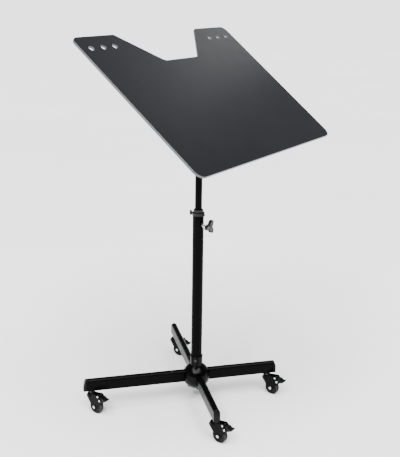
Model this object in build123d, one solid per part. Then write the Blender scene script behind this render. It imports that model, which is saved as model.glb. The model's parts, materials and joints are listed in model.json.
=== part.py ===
from build123d import *
import os
from math import atan2, cos, hypot, radians, sin, sqrt

# Presentation lectern on castors.
#
# A flat board with two raised ears stands on a telescopic column, on a tilting head that a
# hand knob locks.  The column stands in a ball-shaped hub with four arms: two long arms under
# the high edge of the board and two short arms under its low edge.  Each arm ends in a plug
# and carries a castor with a brake pedal.
#
# Millimetres.  The origin is on the floor under the column.  X runs along the width of the
# board, +Y points to the board's high edge and +Z is up.

# ---------------------------------------------------------------- driving dimensions

# board
BOARD_WIDTH = 810.0
BOARD_DEPTH = 570.0
BOARD_THICK = 7.5
BOARD_TILT = 37.3
BOARD_HIGH_CORNER = 24.0
BOARD_LOW_CORNER = 30.0
BOARD_EDGE_ROUND = 1.0
EAR_WIDTH = 188.0
NOTCH_FLARE = 126.0
NOTCH_DEPTH = 131.0
NOTCH_FLOOR_CORNER = 30.0
NOTCH_MOUTH_CORNER = 16.0
HOLE_DIA = 19.0
HOLE_PITCH = 52.4
HOLE_COUNT = 3
HOLE_SIDE_INSET = 44.0
HOLE_EDGE_INSET = 49.5

# tilting head
PIVOT_Z = 1093.6
PIVOT_DROP = 42.0
PIVOT_TO_BOARD_MIDDLE = 28.0
EYE_RADIUS = 15.0
EYE_WIDTH = 30.0
EYE_PLUG_LENGTH = 45.0
EYE_NECK = 6.0
PIN_DIA = 8.0
PIN_HEAD_DIA = 17.0
PIN_HEAD_THICK = 4.5
PIN_HEAD_ROUND = 2.5
WASHER_DIA = 22.0
WASHER_THICK = 1.5
BRACKET_SHEET = 3.0
BRACKET_PLATE_WIDTH = 120.0
BRACKET_PLATE_LENGTH = 110.0
BRACKET_CHEEK_LENGTH = 70.0
BRACKET_TOE_RADIUS = 14.0
BRACKET_CORNER = 8.0
BOARD_SCREW_DIA = 5.0
BOARD_SCREW_DEPTH = 6.0
BOARD_SCREW_HEAD_DIA = 10.0
BOARD_SCREW_HEAD_THICK = 2.8
BOARD_SCREW_HEAD_ROUND = 1.2
BOARD_SCREW_INSET = 12.0
TILT_KNOB_RADIUS = 22.0
TILT_KNOB_THICK = 14.0
TILT_KNOB_NECK = 9.0
TILT_KNOB_LOBE_RADIUS = 6.6
TILT_KNOB_CORE_RADIUS = 13.64
TILT_KNOB_LOBES = 5

# column
TUBE_DIA = 38.0
TUBE_WALL = 1.5
TUBE_TOP_Z = 705.0
MAST_DIA = 24.0
MAST_WALL = 1.5
MAST_FOOT_Z = 424.0
GLIDE_LENGTH = 40.0
GLIDE_FLOOR = 4.0
BUSH_LENGTH = 26.0

# collar on top of the outer tube
COLLAR_WALL = 2.25
COLLAR_SKIRT = 10.0
COLLAR_RING_WALL = 4.75
COLLAR_RING_HEIGHT = 11.0
COLLAR_WEB = 2.5
COLLAR_SHOULDER = 3.0
COLLAR_ROUND = 1.2
COLLAR_BOSS_DIA = 9.0
COLLAR_BOSS_PROUD = 5.5
WING_SCREW_DIA = 5.0
WING_SCREW_PROUD = 17.0
WING_SPAN = 18.0
WING_THICK = 4.0
WING_WIDTH = 10.8
WING_ROUND = 0.8

# height clamp
CLAMP_DROP = 43.2
CLAMP_BOSS_FLATS = 14.0
CLAMP_BOSS_PROUD = 3.5
CLAMP_BOSS_ROOT = 3.0
CLAMP_STUD_DIA = 8.0
CLAMP_TIP_DIA = 5.0
CLAMP_KNOB_STANDOFF = 27.5
CLAMP_KNOB_THICK = 12.0
CLAMP_KNOB_NECK = 5.0
CLAMP_KNOB_NECK_BEVEL = 1.5
CLAMP_KNOB_CORE_RADIUS = 10.2
CLAMP_KNOB_LOBES = 3
CLAMP_LOBE_CENTRE = 17.0
CLAMP_LOBE_RADIUS = 8.0
CLAMP_PAD_DIA = 7.6
CLAMP_PAD_THICK = 3.9
CLAMP_PAD_FACE = 1.0
CLAMP_PAD_TRAVEL = 1.0

# hub
HUB_RADIUS = 48.5
HUB_CENTRE_OVER_FLOOR = 18.3
HUB_FOOT_CUT = 5.0
HUB_FOOT_RECESS = 3.0
HUB_COVER_DIA = 30.0
SLEEVE_WALL = 2.5
SLEEVE_LENGTH = 48.0
SLEEVE_SEAT_THICK = 4.8
SLEEVE_LIP = 1.0
SLEEVE_SCREW_DIA = 5.0
SLEEVE_SCREW_DROP = 13.0
SLEEVE_SCREW_ANGLE = 205.0
SLEEVE_SCREW_HEAD_PROUD = 2.5

# arms
BASE_TURN = 2.5
ARM_WIDTH = 22.0
ARM_HEIGHT = 44.0
ARM_WALL = 1.6
ARM_FOOT_ROUND = 2.6
ARM_ROOT_GAP = 3.5
LONG_REACH = 374.5
SHORT_REACH = 270.0
ARM_PAST_STEM = 19.5
ARM_BOLT_DIA = 6.0
ARM_BOLT_INSET = 12.5
ARM_BOLT_HEAD_DIA = 10.0
ARM_BOLT_HEAD_THICK = 5.0
ARM_BOLT_SOCKET = 5.0
ARM_BOLT_SOCKET_DEPTH = 3.0
ARM_NUT_FLATS = 10.0
ARM_NUT_THICK = 5.0

# arm plugs
PLUG_NOSE_LOW = 10.5
PLUG_NOSE_HIGH = 2.0
PLUG_SPIGOT = 14.0
PLUG_PLAN_RADIUS = 26.0

# castors
CASTOR_TURN = -5.2
WHEEL_RADIUS = 25.0
WHEEL_WIDTH = 20.0
TYRE_THICK = 7.5
TREAD_ROUND = 3.0
CORE_RIM = 2.5
CORE_DISH = 2.0
CORE_BOSS_DIA = 17.6
TRAIL = 23.5
AXLE_DIA = 8.0
AXLE_HEAD_FLATS = 10.0
AXLE_HEAD_THICK = 3.5
CHEEK_INSIDE = 10.5
CHEEK_THICK = 1.6
CHEEK_FRONT_REACH = 9.0
CHEEK_FRONT_RADIUS = 6.5
CHEEK_AXLE_RADIUS = 10.0
PEDAL_PIVOT_DROP = 2.0
PEDAL_PIVOT_RADIUS = 7.0
STOP_PIN_AHEAD = 8.0
STOP_PIN_RISE = 13.0
STOP_PIN_RADIUS = 5.5
BRAKE_PIN_DIA = 5.0
BRAKE_PIN_HEAD_DIA = 7.5
BRAKE_PIN_HEAD_THICK = 2.0
HEAD_RADIUS = 16.5
HEAD_CLEARANCE = 9.0
HEAD_THICK = 8.5
HEAD_ROUND = 2.5
KINGPIN_DIA = 10.0
KINGPIN_RIVET_DIA = 15.0
KINGPIN_RIVET_THICK = 2.0
STEM_HEX_FLATS = 14.0
STEM_HEX_THICK = 4.0
STEM_THREAD_IN_ARM = 17.8
LOCK_NUT_FLATS = 17.0
LOCK_NUT_THICK = 6.4
INSERT_DIA = 16.0
PEDAL_HALF_WIDTH = 10.1
PEDAL_HUMP_RISE = 13.5
PEDAL_HUMP_LENGTH = 10.0
PEDAL_SHOULDER = 4.0
PEDAL_TOE_RISE = 9.0
PEDAL_TOE_THICK = 4.0
PEDAL_TOE_LENGTH = 11.0
PEDAL_REACH = 27.0
PEDAL_BEHIND_STOP = 1.5
PEDAL_BELLY_DROP = 3.0
PEDAL_CORNER = 1.0
PEDAL_SWING = 12.0
SHOE_THICK = 5.0

# hand knobs
KNOB_HOLLOW = 3.0
KNOB_RIM_ROUND = 1.5

# fits
RUNNING_FIT = 0.05
FACE_GAP = 0.3
SCREW_GAP = 0.2

# ---------------------------------------------------------------- derived places

NOTCH_MOUTH = BOARD_WIDTH - 2 * EAR_WIDTH
NOTCH_FLOOR = NOTCH_MOUTH - 2 * NOTCH_FLARE
CHEEK_OUTSIDE = CHEEK_INSIDE + CHEEK_THICK
BRACKET_CHEEK_X = EYE_WIDTH / 2 + WASHER_THICK + FACE_GAP
BRACKET_CHEEK_OUT = BRACKET_CHEEK_X + BRACKET_SHEET
TUBE_BORE = TUBE_DIA - 2 * TUBE_WALL
MAST_TOP_Z = PIVOT_Z - EYE_RADIUS - EYE_NECK
COLLAR_FLANGE_DIA = TUBE_DIA + 2 * COLLAR_WALL
COLLAR_FLANGE_Z = TUBE_TOP_Z - COLLAR_SKIRT
COLLAR_RING_DIA = MAST_DIA + 2 * COLLAR_RING_WALL
COLLAR_RING_TOP_Z = TUBE_TOP_Z + COLLAR_RING_HEIGHT
COLLAR_BOSS_REACH = TUBE_DIA / 2 + COLLAR_BOSS_PROUD
WING_SCREW_REACH = TUBE_DIA / 2 + WING_SCREW_PROUD
CLAMP_Z = TUBE_TOP_Z - CLAMP_DROP
CLAMP_BOSS_REACH = TUBE_DIA / 2 + CLAMP_BOSS_PROUD
CLAMP_KNOB_Y = -TUBE_DIA / 2 - CLAMP_KNOB_STANDOFF
WHEEL_CORE_RADIUS = WHEEL_RADIUS - TYRE_THICK
HEAD_FLOOR_Z = 2 * WHEEL_RADIUS + HEAD_CLEARANCE
HEAD_TOP_Z = HEAD_FLOOR_Z + HEAD_THICK
CHEEK_FRONT = (-CHEEK_FRONT_REACH, HEAD_FLOOR_Z)
PEDAL_PIVOT = (TRAIL + WHEEL_RADIUS, HEAD_FLOOR_Z - PEDAL_PIVOT_DROP)
STOP_PIN = (PEDAL_PIVOT[0] - STOP_PIN_AHEAD, PEDAL_PIVOT[1] + STOP_PIN_RISE)
STEM_HEX_Z = HEAD_TOP_Z + FACE_GAP
LOCK_NUT_Z = STEM_HEX_Z + STEM_HEX_THICK
ARM_FLOOR_Z = LOCK_NUT_Z + LOCK_NUT_THICK
ARM_ROOT = ARM_WIDTH / 2 + ARM_ROOT_GAP
ARM_BOLT_RADIUS = ARM_ROOT + ARM_BOLT_INSET
STEM_THREAD_TOP_Z = ARM_FLOOR_Z + STEM_THREAD_IN_ARM
HUB_CENTRE_Z = ARM_FLOOR_Z + HUB_CENTRE_OVER_FLOOR
HUB_FOOT_Z = HUB_CENTRE_Z - HUB_RADIUS + HUB_FOOT_CUT
SLEEVE_DIA = TUBE_DIA + 2 * SLEEVE_WALL
SLEEVE_SEAT_Z = ARM_FLOOR_Z + ARM_HEIGHT + SLEEVE_SEAT_THICK
SLEEVE_TOP_Z = SLEEVE_SEAT_Z + SLEEVE_LENGTH
SLEEVE_SCREW_Z = SLEEVE_TOP_Z - SLEEVE_SCREW_DROP
ARMS = {
    "rear_left": (135.0, LONG_REACH),
    "rear_right": (45.0, LONG_REACH),
    "front_left": (225.0, SHORT_REACH),
    "front_right": (315.0, SHORT_REACH),
}


# ---------------------------------------------------------------- shared shapes

def rod(diameter, start, end):
    """Round bar between two points."""
    axis = Vector(*end) - Vector(*start)
    plane = Plane(origin=start, z_dir=axis)
    return plane.location * Cylinder(diameter / 2, axis.length, align=(Align.CENTER, Align.CENTER, Align.MIN))


def ring(outer, inner, low, high):
    """Upright ring round the column's axis."""
    return rod(outer, (0, 0, low), (0, 0, high)) - rod(inner, (0, 0, low), (0, 0, high))


def hex_bar(flats, low, high):
    """Upright hexagonal bar, measured across its flats."""
    section = RegularPolygon(flats / 2, 6, major_radius=False)
    return Pos(0, 0, low) * extrude(section, amount=high - low)


def side_profile(section, low, high):
    """Extrude a sketch drawn in (Y, Z) from x = low to x = high."""
    return Pos(low, 0, 0) * extrude(Plane.YZ * section, amount=high - low)


def lobed_knob(lobe_centre, lobe_radius, core_radius, count, thick):
    """Hand knob with round lobes, flat on Z = 0, with rounded hollows and rims."""
    plan = Circle(core_radius)
    for place in PolarLocations(lobe_centre, count):
        plan += place * Circle(lobe_radius)
        plan += place * Pos(-lobe_centre / 2, 0) * Rectangle(lobe_centre, lobe_radius * 1.2)
    plan = offset(offset(plan, amount=KNOB_HOLLOW), amount=-KNOB_HOLLOW)
    body = extrude(plan, amount=thick)
    rims = body.edges().group_by(Axis.Z)
    return fillet(rims[0] + rims[-1], KNOB_RIM_ROUND)


# ---------------------------------------------------------------- board and tilting head

def on_board(part):
    """Carry a part from the level board frame to its tilted place on the pivot.

    In the level frame the pivot is the origin, the board's underside is at Z = PIVOT_DROP
    and +Y runs up the slope.
    """
    return Pos(0, 0, PIVOT_Z) * Rot(BOARD_TILT, 0, 0) * part


def board_outline():
    """Board outline about its middle, with the notch cut from the high edge."""
    half_w = BOARD_WIDTH / 2
    half_d = BOARD_DEPTH / 2
    floor_y = half_d - NOTCH_DEPTH
    corners = [
        (-half_w, -half_d, BOARD_LOW_CORNER),
        (half_w, -half_d, BOARD_LOW_CORNER),
        (half_w, half_d, BOARD_HIGH_CORNER),
        (NOTCH_MOUTH / 2, half_d, NOTCH_MOUTH_CORNER),
        (NOTCH_FLOOR / 2, floor_y, NOTCH_FLOOR_CORNER),
        (-NOTCH_FLOOR / 2, floor_y, NOTCH_FLOOR_CORNER),
        (-NOTCH_MOUTH / 2, half_d, NOTCH_MOUTH_CORNER),
        (-half_w, half_d, BOARD_HIGH_CORNER),
    ]
    outline = Polygon(*[(x, y) for x, y, _ in corners], align=None)
    for x, y, radius in corners:
        corner = outline.vertices().sort_by_distance((x, y, 0))[0]
        outline = fillet(corner, radius)
    return outline


def hole_places():
    """Centres of the finger holes in both ears, about the board's middle."""
    row_y = BOARD_DEPTH / 2 - HOLE_EDGE_INSET
    outer = BOARD_WIDTH / 2 - HOLE_SIDE_INSET
    return [(side * (outer - step * HOLE_PITCH), row_y) for side in (-1, 1) for step in range(HOLE_COUNT)]


def board_screw_places():
    """Centres of the screws that hold the bracket, in the level board frame."""
    x = BRACKET_PLATE_WIDTH / 2 - BOARD_SCREW_INSET
    y = BRACKET_PLATE_LENGTH / 2 - BOARD_SCREW_INSET
    return [(sx * x, sy * y) for sx in (-1, 1) for sy in (-1, 1)]


def board():
    plan = board_outline()
    for x, y in hole_places():
        plan -= Pos(x, y) * Circle(HOLE_DIA / 2)
    panel = extrude(plan, amount=BOARD_THICK)
    faces = panel.faces().sort_by(Axis.Z)
    panel = fillet(faces[0].edges() + faces[-1].edges(), BOARD_EDGE_ROUND)
    panel = Pos(0, -PIVOT_TO_BOARD_MIDDLE, PIVOT_DROP) * panel
    for x, y in board_screw_places():
        panel -= rod(BOARD_SCREW_DIA, (x, y, PIVOT_DROP - 1), (x, y, PIVOT_DROP + BOARD_SCREW_DEPTH))
    return on_board(panel)


def board_screws():
    plate_low = PIVOT_DROP - BRACKET_SHEET
    screws = []
    for x, y in board_screw_places():
        shank = rod(BOARD_SCREW_DIA, (x, y, plate_low - 1), (x, y, PIVOT_DROP + BOARD_SCREW_DEPTH))
        head = rod(BOARD_SCREW_HEAD_DIA, (x, y, plate_low - BOARD_SCREW_HEAD_THICK), (x, y, plate_low))
        head = fillet(head.edges().sort_by(Axis.Z)[0], BOARD_SCREW_HEAD_ROUND)
        screws.append(on_board(shank + head))
    return Compound(children=screws)


def tilt_bracket():
    """Folded steel bracket: a plate under the board and two cheeks round the pivot."""
    plate_low = PIVOT_DROP - BRACKET_SHEET
    plate = Pos(0, 0, plate_low + BRACKET_SHEET / 2) * Box(
        BRACKET_PLATE_WIDTH, BRACKET_PLATE_LENGTH, BRACKET_SHEET
    )
    plate = fillet(plate.edges().filter_by(Axis.Z), BRACKET_CORNER)
    half = BRACKET_CHEEK_LENGTH / 2
    toe = Circle(BRACKET_TOE_RADIUS)
    top = Pos(0, plate_low + BRACKET_SHEET / 2) * Rectangle(2 * half, BRACKET_SHEET)
    cheek = make_hull(toe.edges() + top.edges())
    body = plate
    for low in (BRACKET_CHEEK_X, -BRACKET_CHEEK_OUT):
        body += side_profile(cheek, low, low + BRACKET_SHEET)
    body -= rod(PIN_DIA + 2 * RUNNING_FIT, (-BRACKET_CHEEK_OUT - 1, 0, 0), (BRACKET_CHEEK_OUT + 1, 0, 0))
    for x, y in board_screw_places():
        body -= rod(BOARD_SCREW_DIA, (x, y, plate_low - 1), (x, y, PIVOT_DROP + 1))
    return on_board(body)


def tilt_eye():
    """Cast eye on top of the mast, with a plug that fills the mast's bore."""
    bore = MAST_DIA - 2 * MAST_WALL
    eye = rod(2 * EYE_RADIUS, (-EYE_WIDTH / 2, 0, PIVOT_Z), (EYE_WIDTH / 2, 0, PIVOT_Z))
    neck = rod(MAST_DIA, (0, 0, MAST_TOP_Z), (0, 0, PIVOT_Z))
    plug = rod(bore, (0, 0, MAST_TOP_Z - EYE_PLUG_LENGTH), (0, 0, MAST_TOP_Z + 1))
    reach = EYE_WIDTH / 2 + 1
    return eye + neck + plug - rod(PIN_DIA + 2 * RUNNING_FIT, (-reach, 0, PIVOT_Z), (reach, 0, PIVOT_Z))


def tilt_washers():
    washers = []
    for side in (-1, 1):
        near = side * (EYE_WIDTH / 2 + FACE_GAP)
        far = near + side * WASHER_THICK
        disc = rod(WASHER_DIA, (near, 0, PIVOT_Z), (far, 0, PIVOT_Z))
        washers.append(disc - rod(PIN_DIA, (near - side, 0, PIVOT_Z), (far + side, 0, PIVOT_Z)))
    return Compound(children=washers)


def tilt_pin():
    """Carriage bolt through the bracket and the eye; the knob turns on its thread."""
    head_x = -BRACKET_CHEEK_OUT
    knob_x = BRACKET_CHEEK_OUT + FACE_GAP
    tip_x = knob_x + TILT_KNOB_NECK + TILT_KNOB_THICK / 2
    shank = rod(PIN_DIA, (head_x - 1, 0, PIVOT_Z), (tip_x, 0, PIVOT_Z))
    head = rod(PIN_HEAD_DIA, (head_x - PIN_HEAD_THICK, 0, PIVOT_Z), (head_x, 0, PIVOT_Z))
    return shank + fillet(head.edges().sort_by(Axis.X)[0], PIN_HEAD_ROUND)


def tilt_knob():
    knob_x = BRACKET_CHEEK_OUT + FACE_GAP
    lobe = TILT_KNOB_LOBE_RADIUS
    head = lobed_knob(TILT_KNOB_RADIUS - lobe, lobe, TILT_KNOB_CORE_RADIUS, TILT_KNOB_LOBES, TILT_KNOB_THICK)
    head = Pos(knob_x + TILT_KNOB_NECK, 0, PIVOT_Z) * Rot(0, 90, 0) * head
    neck = rod(2 * PIN_DIA, (knob_x, 0, PIVOT_Z), (knob_x + TILT_KNOB_NECK + 1, 0, PIVOT_Z))
    depth = knob_x + TILT_KNOB_NECK + TILT_KNOB_THICK / 2 + 1
    return head + neck - rod(PIN_DIA + 2 * RUNNING_FIT, (knob_x - 1, 0, PIVOT_Z), (depth, 0, PIVOT_Z))


# ---------------------------------------------------------------- column

def sleeve_screw_line(reach):
    """Point on the sleeve screw's axis at a distance from the column's axis."""
    turn = radians(SLEEVE_SCREW_ANGLE)
    return (reach * cos(turn), reach * sin(turn), SLEEVE_SCREW_Z)


def column_tube():
    tube = ring(TUBE_DIA, TUBE_BORE, SLEEVE_SEAT_Z, TUBE_TOP_Z)
    tube -= rod(CLAMP_STUD_DIA + 2 * SCREW_GAP, (0, 0, CLAMP_Z), (0, -TUBE_DIA, CLAMP_Z))
    return tube - rod(SLEEVE_SCREW_DIA, sleeve_screw_line(TUBE_BORE / 4), sleeve_screw_line(TUBE_DIA))


def mast_tube():
    low = MAST_FOOT_Z + GLIDE_FLOOR + FACE_GAP
    return ring(MAST_DIA, MAST_DIA - 2 * MAST_WALL, low, MAST_TOP_Z)


def mast_glide():
    """Plastic cup at the mast's foot that slides in the outer tube."""
    outer = rod(TUBE_BORE - 2 * RUNNING_FIT, (0, 0, MAST_FOOT_Z), (0, 0, MAST_FOOT_Z + GLIDE_LENGTH))
    outer = chamfer(outer.edges(), 1.0)
    low = MAST_FOOT_Z + GLIDE_FLOOR
    return outer - rod(MAST_DIA + 2 * RUNNING_FIT, (0, 0, low), (0, 0, MAST_FOOT_Z + GLIDE_LENGTH + 1))


def top_bush():
    """Plastic bush in the mouth of the outer tube that guides the mast."""
    return ring(TUBE_BORE, MAST_DIA + 2 * RUNNING_FIT, TUBE_TOP_Z - BUSH_LENGTH, TUBE_TOP_Z)


def collar_screw_z():
    """Height of the wing screw, whose boss stands on the collar's lower edge."""
    return COLLAR_FLANGE_Z + COLLAR_BOSS_DIA / 2


def collar():
    """Cast collar that caps the outer tube and carries the wing screw."""
    web_top = TUBE_TOP_Z + COLLAR_WEB
    flange = rod(COLLAR_FLANGE_DIA, (0, 0, COLLAR_FLANGE_Z), (0, 0, web_top))
    flange = chamfer(flange.edges().sort_by(Axis.Z)[-1], COLLAR_SHOULDER)
    flange = fillet(flange.edges().sort_by(Axis.Z)[0], COLLAR_ROUND)
    crown = rod(COLLAR_RING_DIA, (0, 0, web_top - 1), (0, 0, COLLAR_RING_TOP_Z))
    crown = fillet(crown.edges().sort_by(Axis.Z)[-1], COLLAR_ROUND)
    z = collar_screw_z()
    body = flange + crown + rod(COLLAR_BOSS_DIA, (0, -COLLAR_BOSS_REACH, z), (0, COLLAR_BOSS_REACH, z))
    body -= rod(TUBE_DIA, (0, 0, COLLAR_FLANGE_Z - 1), (0, 0, TUBE_TOP_Z))
    body -= rod(MAST_DIA + 2 * FACE_GAP, (0, 0, TUBE_TOP_Z - 1), (0, 0, COLLAR_RING_TOP_Z + 1))
    return body - rod(WING_SCREW_DIA + 2 * RUNNING_FIT, (0, 0, z), (0, COLLAR_BOSS_REACH + 1, z))


def collar_wing_screw():
    """Wing screw on the +Y side, pressed on the outer tube."""
    z = collar_screw_z()
    wing_y = WING_SCREW_REACH - WING_WIDTH
    shank = rod(WING_SCREW_DIA, (0, TUBE_DIA / 2 + FACE_GAP, z), (0, WING_SCREW_REACH - WING_WIDTH / 2, z))
    hub = rod(2 * WING_THICK, (0, COLLAR_BOSS_REACH + FACE_GAP, z), (0, wing_y + WING_WIDTH / 2, z))
    middle = (wing_y + WING_SCREW_REACH) / 2
    plan = Pos(middle, z) * RectangleRounded(WING_WIDTH, WING_SPAN, WING_WIDTH * 0.45)
    wings = side_profile(plan, -WING_THICK / 2, WING_THICK / 2)
    wings = fillet(wings.edges().filter_by(GeomType.CIRCLE), WING_ROUND)
    return shank + hub + wings


def clamp_boss():
    """Weld nut on the outer tube for the clamp stud."""
    root = TUBE_DIA / 2 - CLAMP_BOSS_ROOT
    nut = Pos(0, 0, CLAMP_Z) * Rot(90, 0, 0) * hex_bar(CLAMP_BOSS_FLATS, root, CLAMP_BOSS_REACH)
    nut -= rod(TUBE_DIA, (0, 0, CLAMP_Z - CLAMP_BOSS_FLATS), (0, 0, CLAMP_Z + CLAMP_BOSS_FLATS))
    return nut - rod(CLAMP_STUD_DIA + 2 * RUNNING_FIT, (0, 0, CLAMP_Z), (0, -CLAMP_BOSS_REACH - 1, CLAMP_Z))


def clamp_pad_places():
    """Y of the pad's face, its back, and the stud's shoulder behind it."""
    face = -(MAST_DIA / 2 + FACE_GAP)
    back = face - CLAMP_PAD_THICK
    shoulder = back - CLAMP_PAD_TRAVEL - FACE_GAP
    return face, back, shoulder


def clamp_pad():
    """Brass pad on the stud's tip that bears on the mast."""
    face, back, _ = clamp_pad_places()
    pad = rod(CLAMP_PAD_DIA, (0, face, CLAMP_Z), (0, back, CLAMP_Z))
    recess = CLAMP_TIP_DIA + 2 * RUNNING_FIT
    return pad - rod(recess, (0, face - CLAMP_PAD_FACE, CLAMP_Z), (0, back - 1, CLAMP_Z))


def clamp_stud():
    face, _, shoulder = clamp_pad_places()
    tip = face - CLAMP_PAD_FACE - CLAMP_PAD_TRAVEL - FACE_GAP
    thread = rod(CLAMP_STUD_DIA, (0, shoulder, CLAMP_Z), (0, CLAMP_KNOB_Y, CLAMP_Z))
    return thread + rod(CLAMP_TIP_DIA, (0, tip, CLAMP_Z), (0, shoulder - 1, CLAMP_Z))


def clamp_knob():
    """Three-lobed hand knob, one lobe towards -X."""
    core = CLAMP_KNOB_CORE_RADIUS
    head = lobed_knob(CLAMP_LOBE_CENTRE, CLAMP_LOBE_RADIUS, core, CLAMP_KNOB_LOBES, CLAMP_KNOB_THICK)
    near = CLAMP_KNOB_Y + CLAMP_KNOB_THICK / 2
    head = Pos(0, near, CLAMP_Z) * Rot(90, 0, 0) * Rot(0, 0, 180) * head
    neck = rod(2 * CLAMP_STUD_DIA, (0, near + CLAMP_KNOB_NECK, CLAMP_Z), (0, near - 1, CLAMP_Z))
    neck = chamfer(neck.edges().sort_by(Axis.Y)[-1], CLAMP_KNOB_NECK_BEVEL)
    return head + neck - rod(CLAMP_STUD_DIA, (0, 0, CLAMP_Z), (0, CLAMP_KNOB_Y, CLAMP_Z))


# ---------------------------------------------------------------- hub and arms

def on_arm(angle, part):
    """Turn a part drawn along +X to its arm's direction."""
    return Rot(0, 0, angle + BASE_TURN) * part


def arm_section(shrink):
    """Arm section about its floor: flat floor, upright sides and a half-round top."""
    width = ARM_WIDTH - 2 * shrink
    straight = ARM_HEIGHT - ARM_WIDTH / 2 - shrink
    block = Pos(0, shrink + straight / 2) * Rectangle(width, straight)
    section = block + Pos(0, shrink + straight) * Circle(width / 2)
    low = section.vertices().sort_by(Axis.Y)[:2]
    return fillet(low, ARM_FOOT_ROUND - shrink)


def arm_bar(shrink, start, end):
    """Solid bar with the arm's section, drawn along +X."""
    return Pos(0, 0, ARM_FLOOR_Z) * side_profile(arm_section(shrink), start, end)


def arm(angle, reach):
    end = reach + ARM_PAST_STEM
    tube = arm_bar(0, ARM_ROOT, end) - arm_bar(ARM_WALL, ARM_ROOT - 1, end + 1)
    low = ARM_FLOOR_Z - 1
    high = ARM_FLOOR_Z + ARM_WALL + 1
    tube -= rod(KINGPIN_DIA + 2 * SCREW_GAP, (reach, 0, low), (reach, 0, high))
    tube -= rod(ARM_BOLT_DIA + 2 * SCREW_GAP, (ARM_BOLT_RADIUS, 0, low), (ARM_BOLT_RADIUS, 0, high))
    return on_arm(angle, tube)


def arm_plug(angle, reach):
    """End plug: a spigot in the tube and a nose that bulges towards its foot."""
    end = reach + ARM_PAST_STEM
    bulge = PLUG_NOSE_LOW - PLUG_NOSE_HIGH
    front_radius = (ARM_HEIGHT ** 2 + bulge ** 2) / (2 * bulge)
    tip = end + PLUG_NOSE_LOW
    nose = arm_bar(0, end, tip)
    low = (tip - front_radius, -ARM_WIDTH, ARM_FLOOR_Z)
    high = (tip - front_radius, ARM_WIDTH, ARM_FLOOR_Z)
    nose &= rod(2 * front_radius, low, high)
    centre = tip - PLUG_PLAN_RADIUS
    nose &= rod(2 * PLUG_PLAN_RADIUS, (centre, 0, 0), (centre, 0, 2 * ARM_FLOOR_Z))
    spigot = arm_bar(ARM_WALL + RUNNING_FIT, end - PLUG_SPIGOT, end + 1)
    clear = reach + INSERT_DIA / 2 + FACE_GAP
    spigot -= Pos(clear - ARM_WIDTH, 0, ARM_FLOOR_Z) * Box(2 * ARM_WIDTH, ARM_WIDTH, 3 * ARM_HEIGHT)
    return on_arm(angle, nose + spigot)


def hub():
    """Cast hub: a ball with four sockets and a sleeve for the column."""
    ball = Pos(0, 0, HUB_CENTRE_Z) * Sphere(HUB_RADIUS)
    below = Pos(0, 0, HUB_FOOT_Z - HUB_RADIUS) * Box(3 * HUB_RADIUS, 3 * HUB_RADIUS, 2 * HUB_RADIUS)
    ball -= below
    sleeve = rod(SLEEVE_DIA, (0, 0, HUB_CENTRE_Z), (0, 0, SLEEVE_TOP_Z))
    lip_dia = SLEEVE_DIA + 2 * SLEEVE_LIP
    lip = rod(lip_dia, (0, 0, SLEEVE_TOP_Z - 3 * SLEEVE_LIP), (0, 0, SLEEVE_TOP_Z))
    body = ball + sleeve + fillet(lip.edges(), 0.8 * SLEEVE_LIP)
    body -= rod(TUBE_DIA, (0, 0, SLEEVE_SEAT_Z), (0, 0, SLEEVE_TOP_Z + 1))
    body -= rod(SLEEVE_SCREW_DIA, sleeve_screw_line(0), sleeve_screw_line(SLEEVE_DIA))
    body -= rod(HUB_COVER_DIA, (0, 0, HUB_FOOT_Z - 1), (0, 0, HUB_FOOT_Z + HUB_FOOT_RECESS))
    for angle, _ in ARMS.values():
        body -= on_arm(angle, arm_bar(0, ARM_ROOT, 2 * HUB_RADIUS))
        body -= on_arm(angle, arm_bolt_cut())
    return body


def arm_bolt_head_z():
    """Seat of the bolt heads: level with the ball's skin at the bolts' inner side."""
    inner = ARM_BOLT_RADIUS - ARM_BOLT_HEAD_DIA / 2
    return HUB_CENTRE_Z - sqrt(HUB_RADIUS ** 2 - inner ** 2) + ARM_BOLT_HEAD_THICK


def arm_bolt_cut():
    """Clearance for one arm bolt and its head in the hub, drawn along +X."""
    seat = arm_bolt_head_z()
    x = ARM_BOLT_RADIUS
    hole = rod(ARM_BOLT_DIA + 2 * SCREW_GAP, (x, 0, seat - 1), (x, 0, ARM_FLOOR_Z + 1))
    return hole + rod(ARM_BOLT_HEAD_DIA + 2 * SCREW_GAP, (x, 0, HUB_FOOT_Z - HUB_RADIUS), (x, 0, seat))


def arm_bolts():
    seat = arm_bolt_head_z()
    low = seat - ARM_BOLT_HEAD_THICK
    x = ARM_BOLT_RADIUS
    top = ARM_FLOOR_Z + ARM_WALL + ARM_NUT_THICK + 1
    bolts = []
    for angle, _ in ARMS.values():
        head = rod(ARM_BOLT_HEAD_DIA, (x, 0, low), (x, 0, seat))
        head -= Pos(x, 0, 0) * hex_bar(ARM_BOLT_SOCKET, low - 1, low + ARM_BOLT_SOCKET_DEPTH)
        bolts.append(on_arm(angle, head + rod(ARM_BOLT_DIA, (x, 0, seat - 1), (x, 0, top))))
    return Compound(children=bolts)


def arm_nuts():
    low = ARM_FLOOR_Z + ARM_WALL
    nuts = []
    for angle, _ in ARMS.values():
        nut = Pos(ARM_BOLT_RADIUS, 0, 0) * hex_bar(ARM_NUT_FLATS, low, low + ARM_NUT_THICK)
        nut -= rod(ARM_BOLT_DIA, (ARM_BOLT_RADIUS, 0, low - 1), (ARM_BOLT_RADIUS, 0, low + ARM_NUT_THICK + 1))
        nuts.append(on_arm(angle, nut))
    return Compound(children=nuts)


def hub_cover():
    """Plastic disc pressed into the hub's foot."""
    return rod(HUB_COVER_DIA, (0, 0, HUB_FOOT_Z), (0, 0, HUB_FOOT_Z + HUB_FOOT_RECESS))


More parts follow.
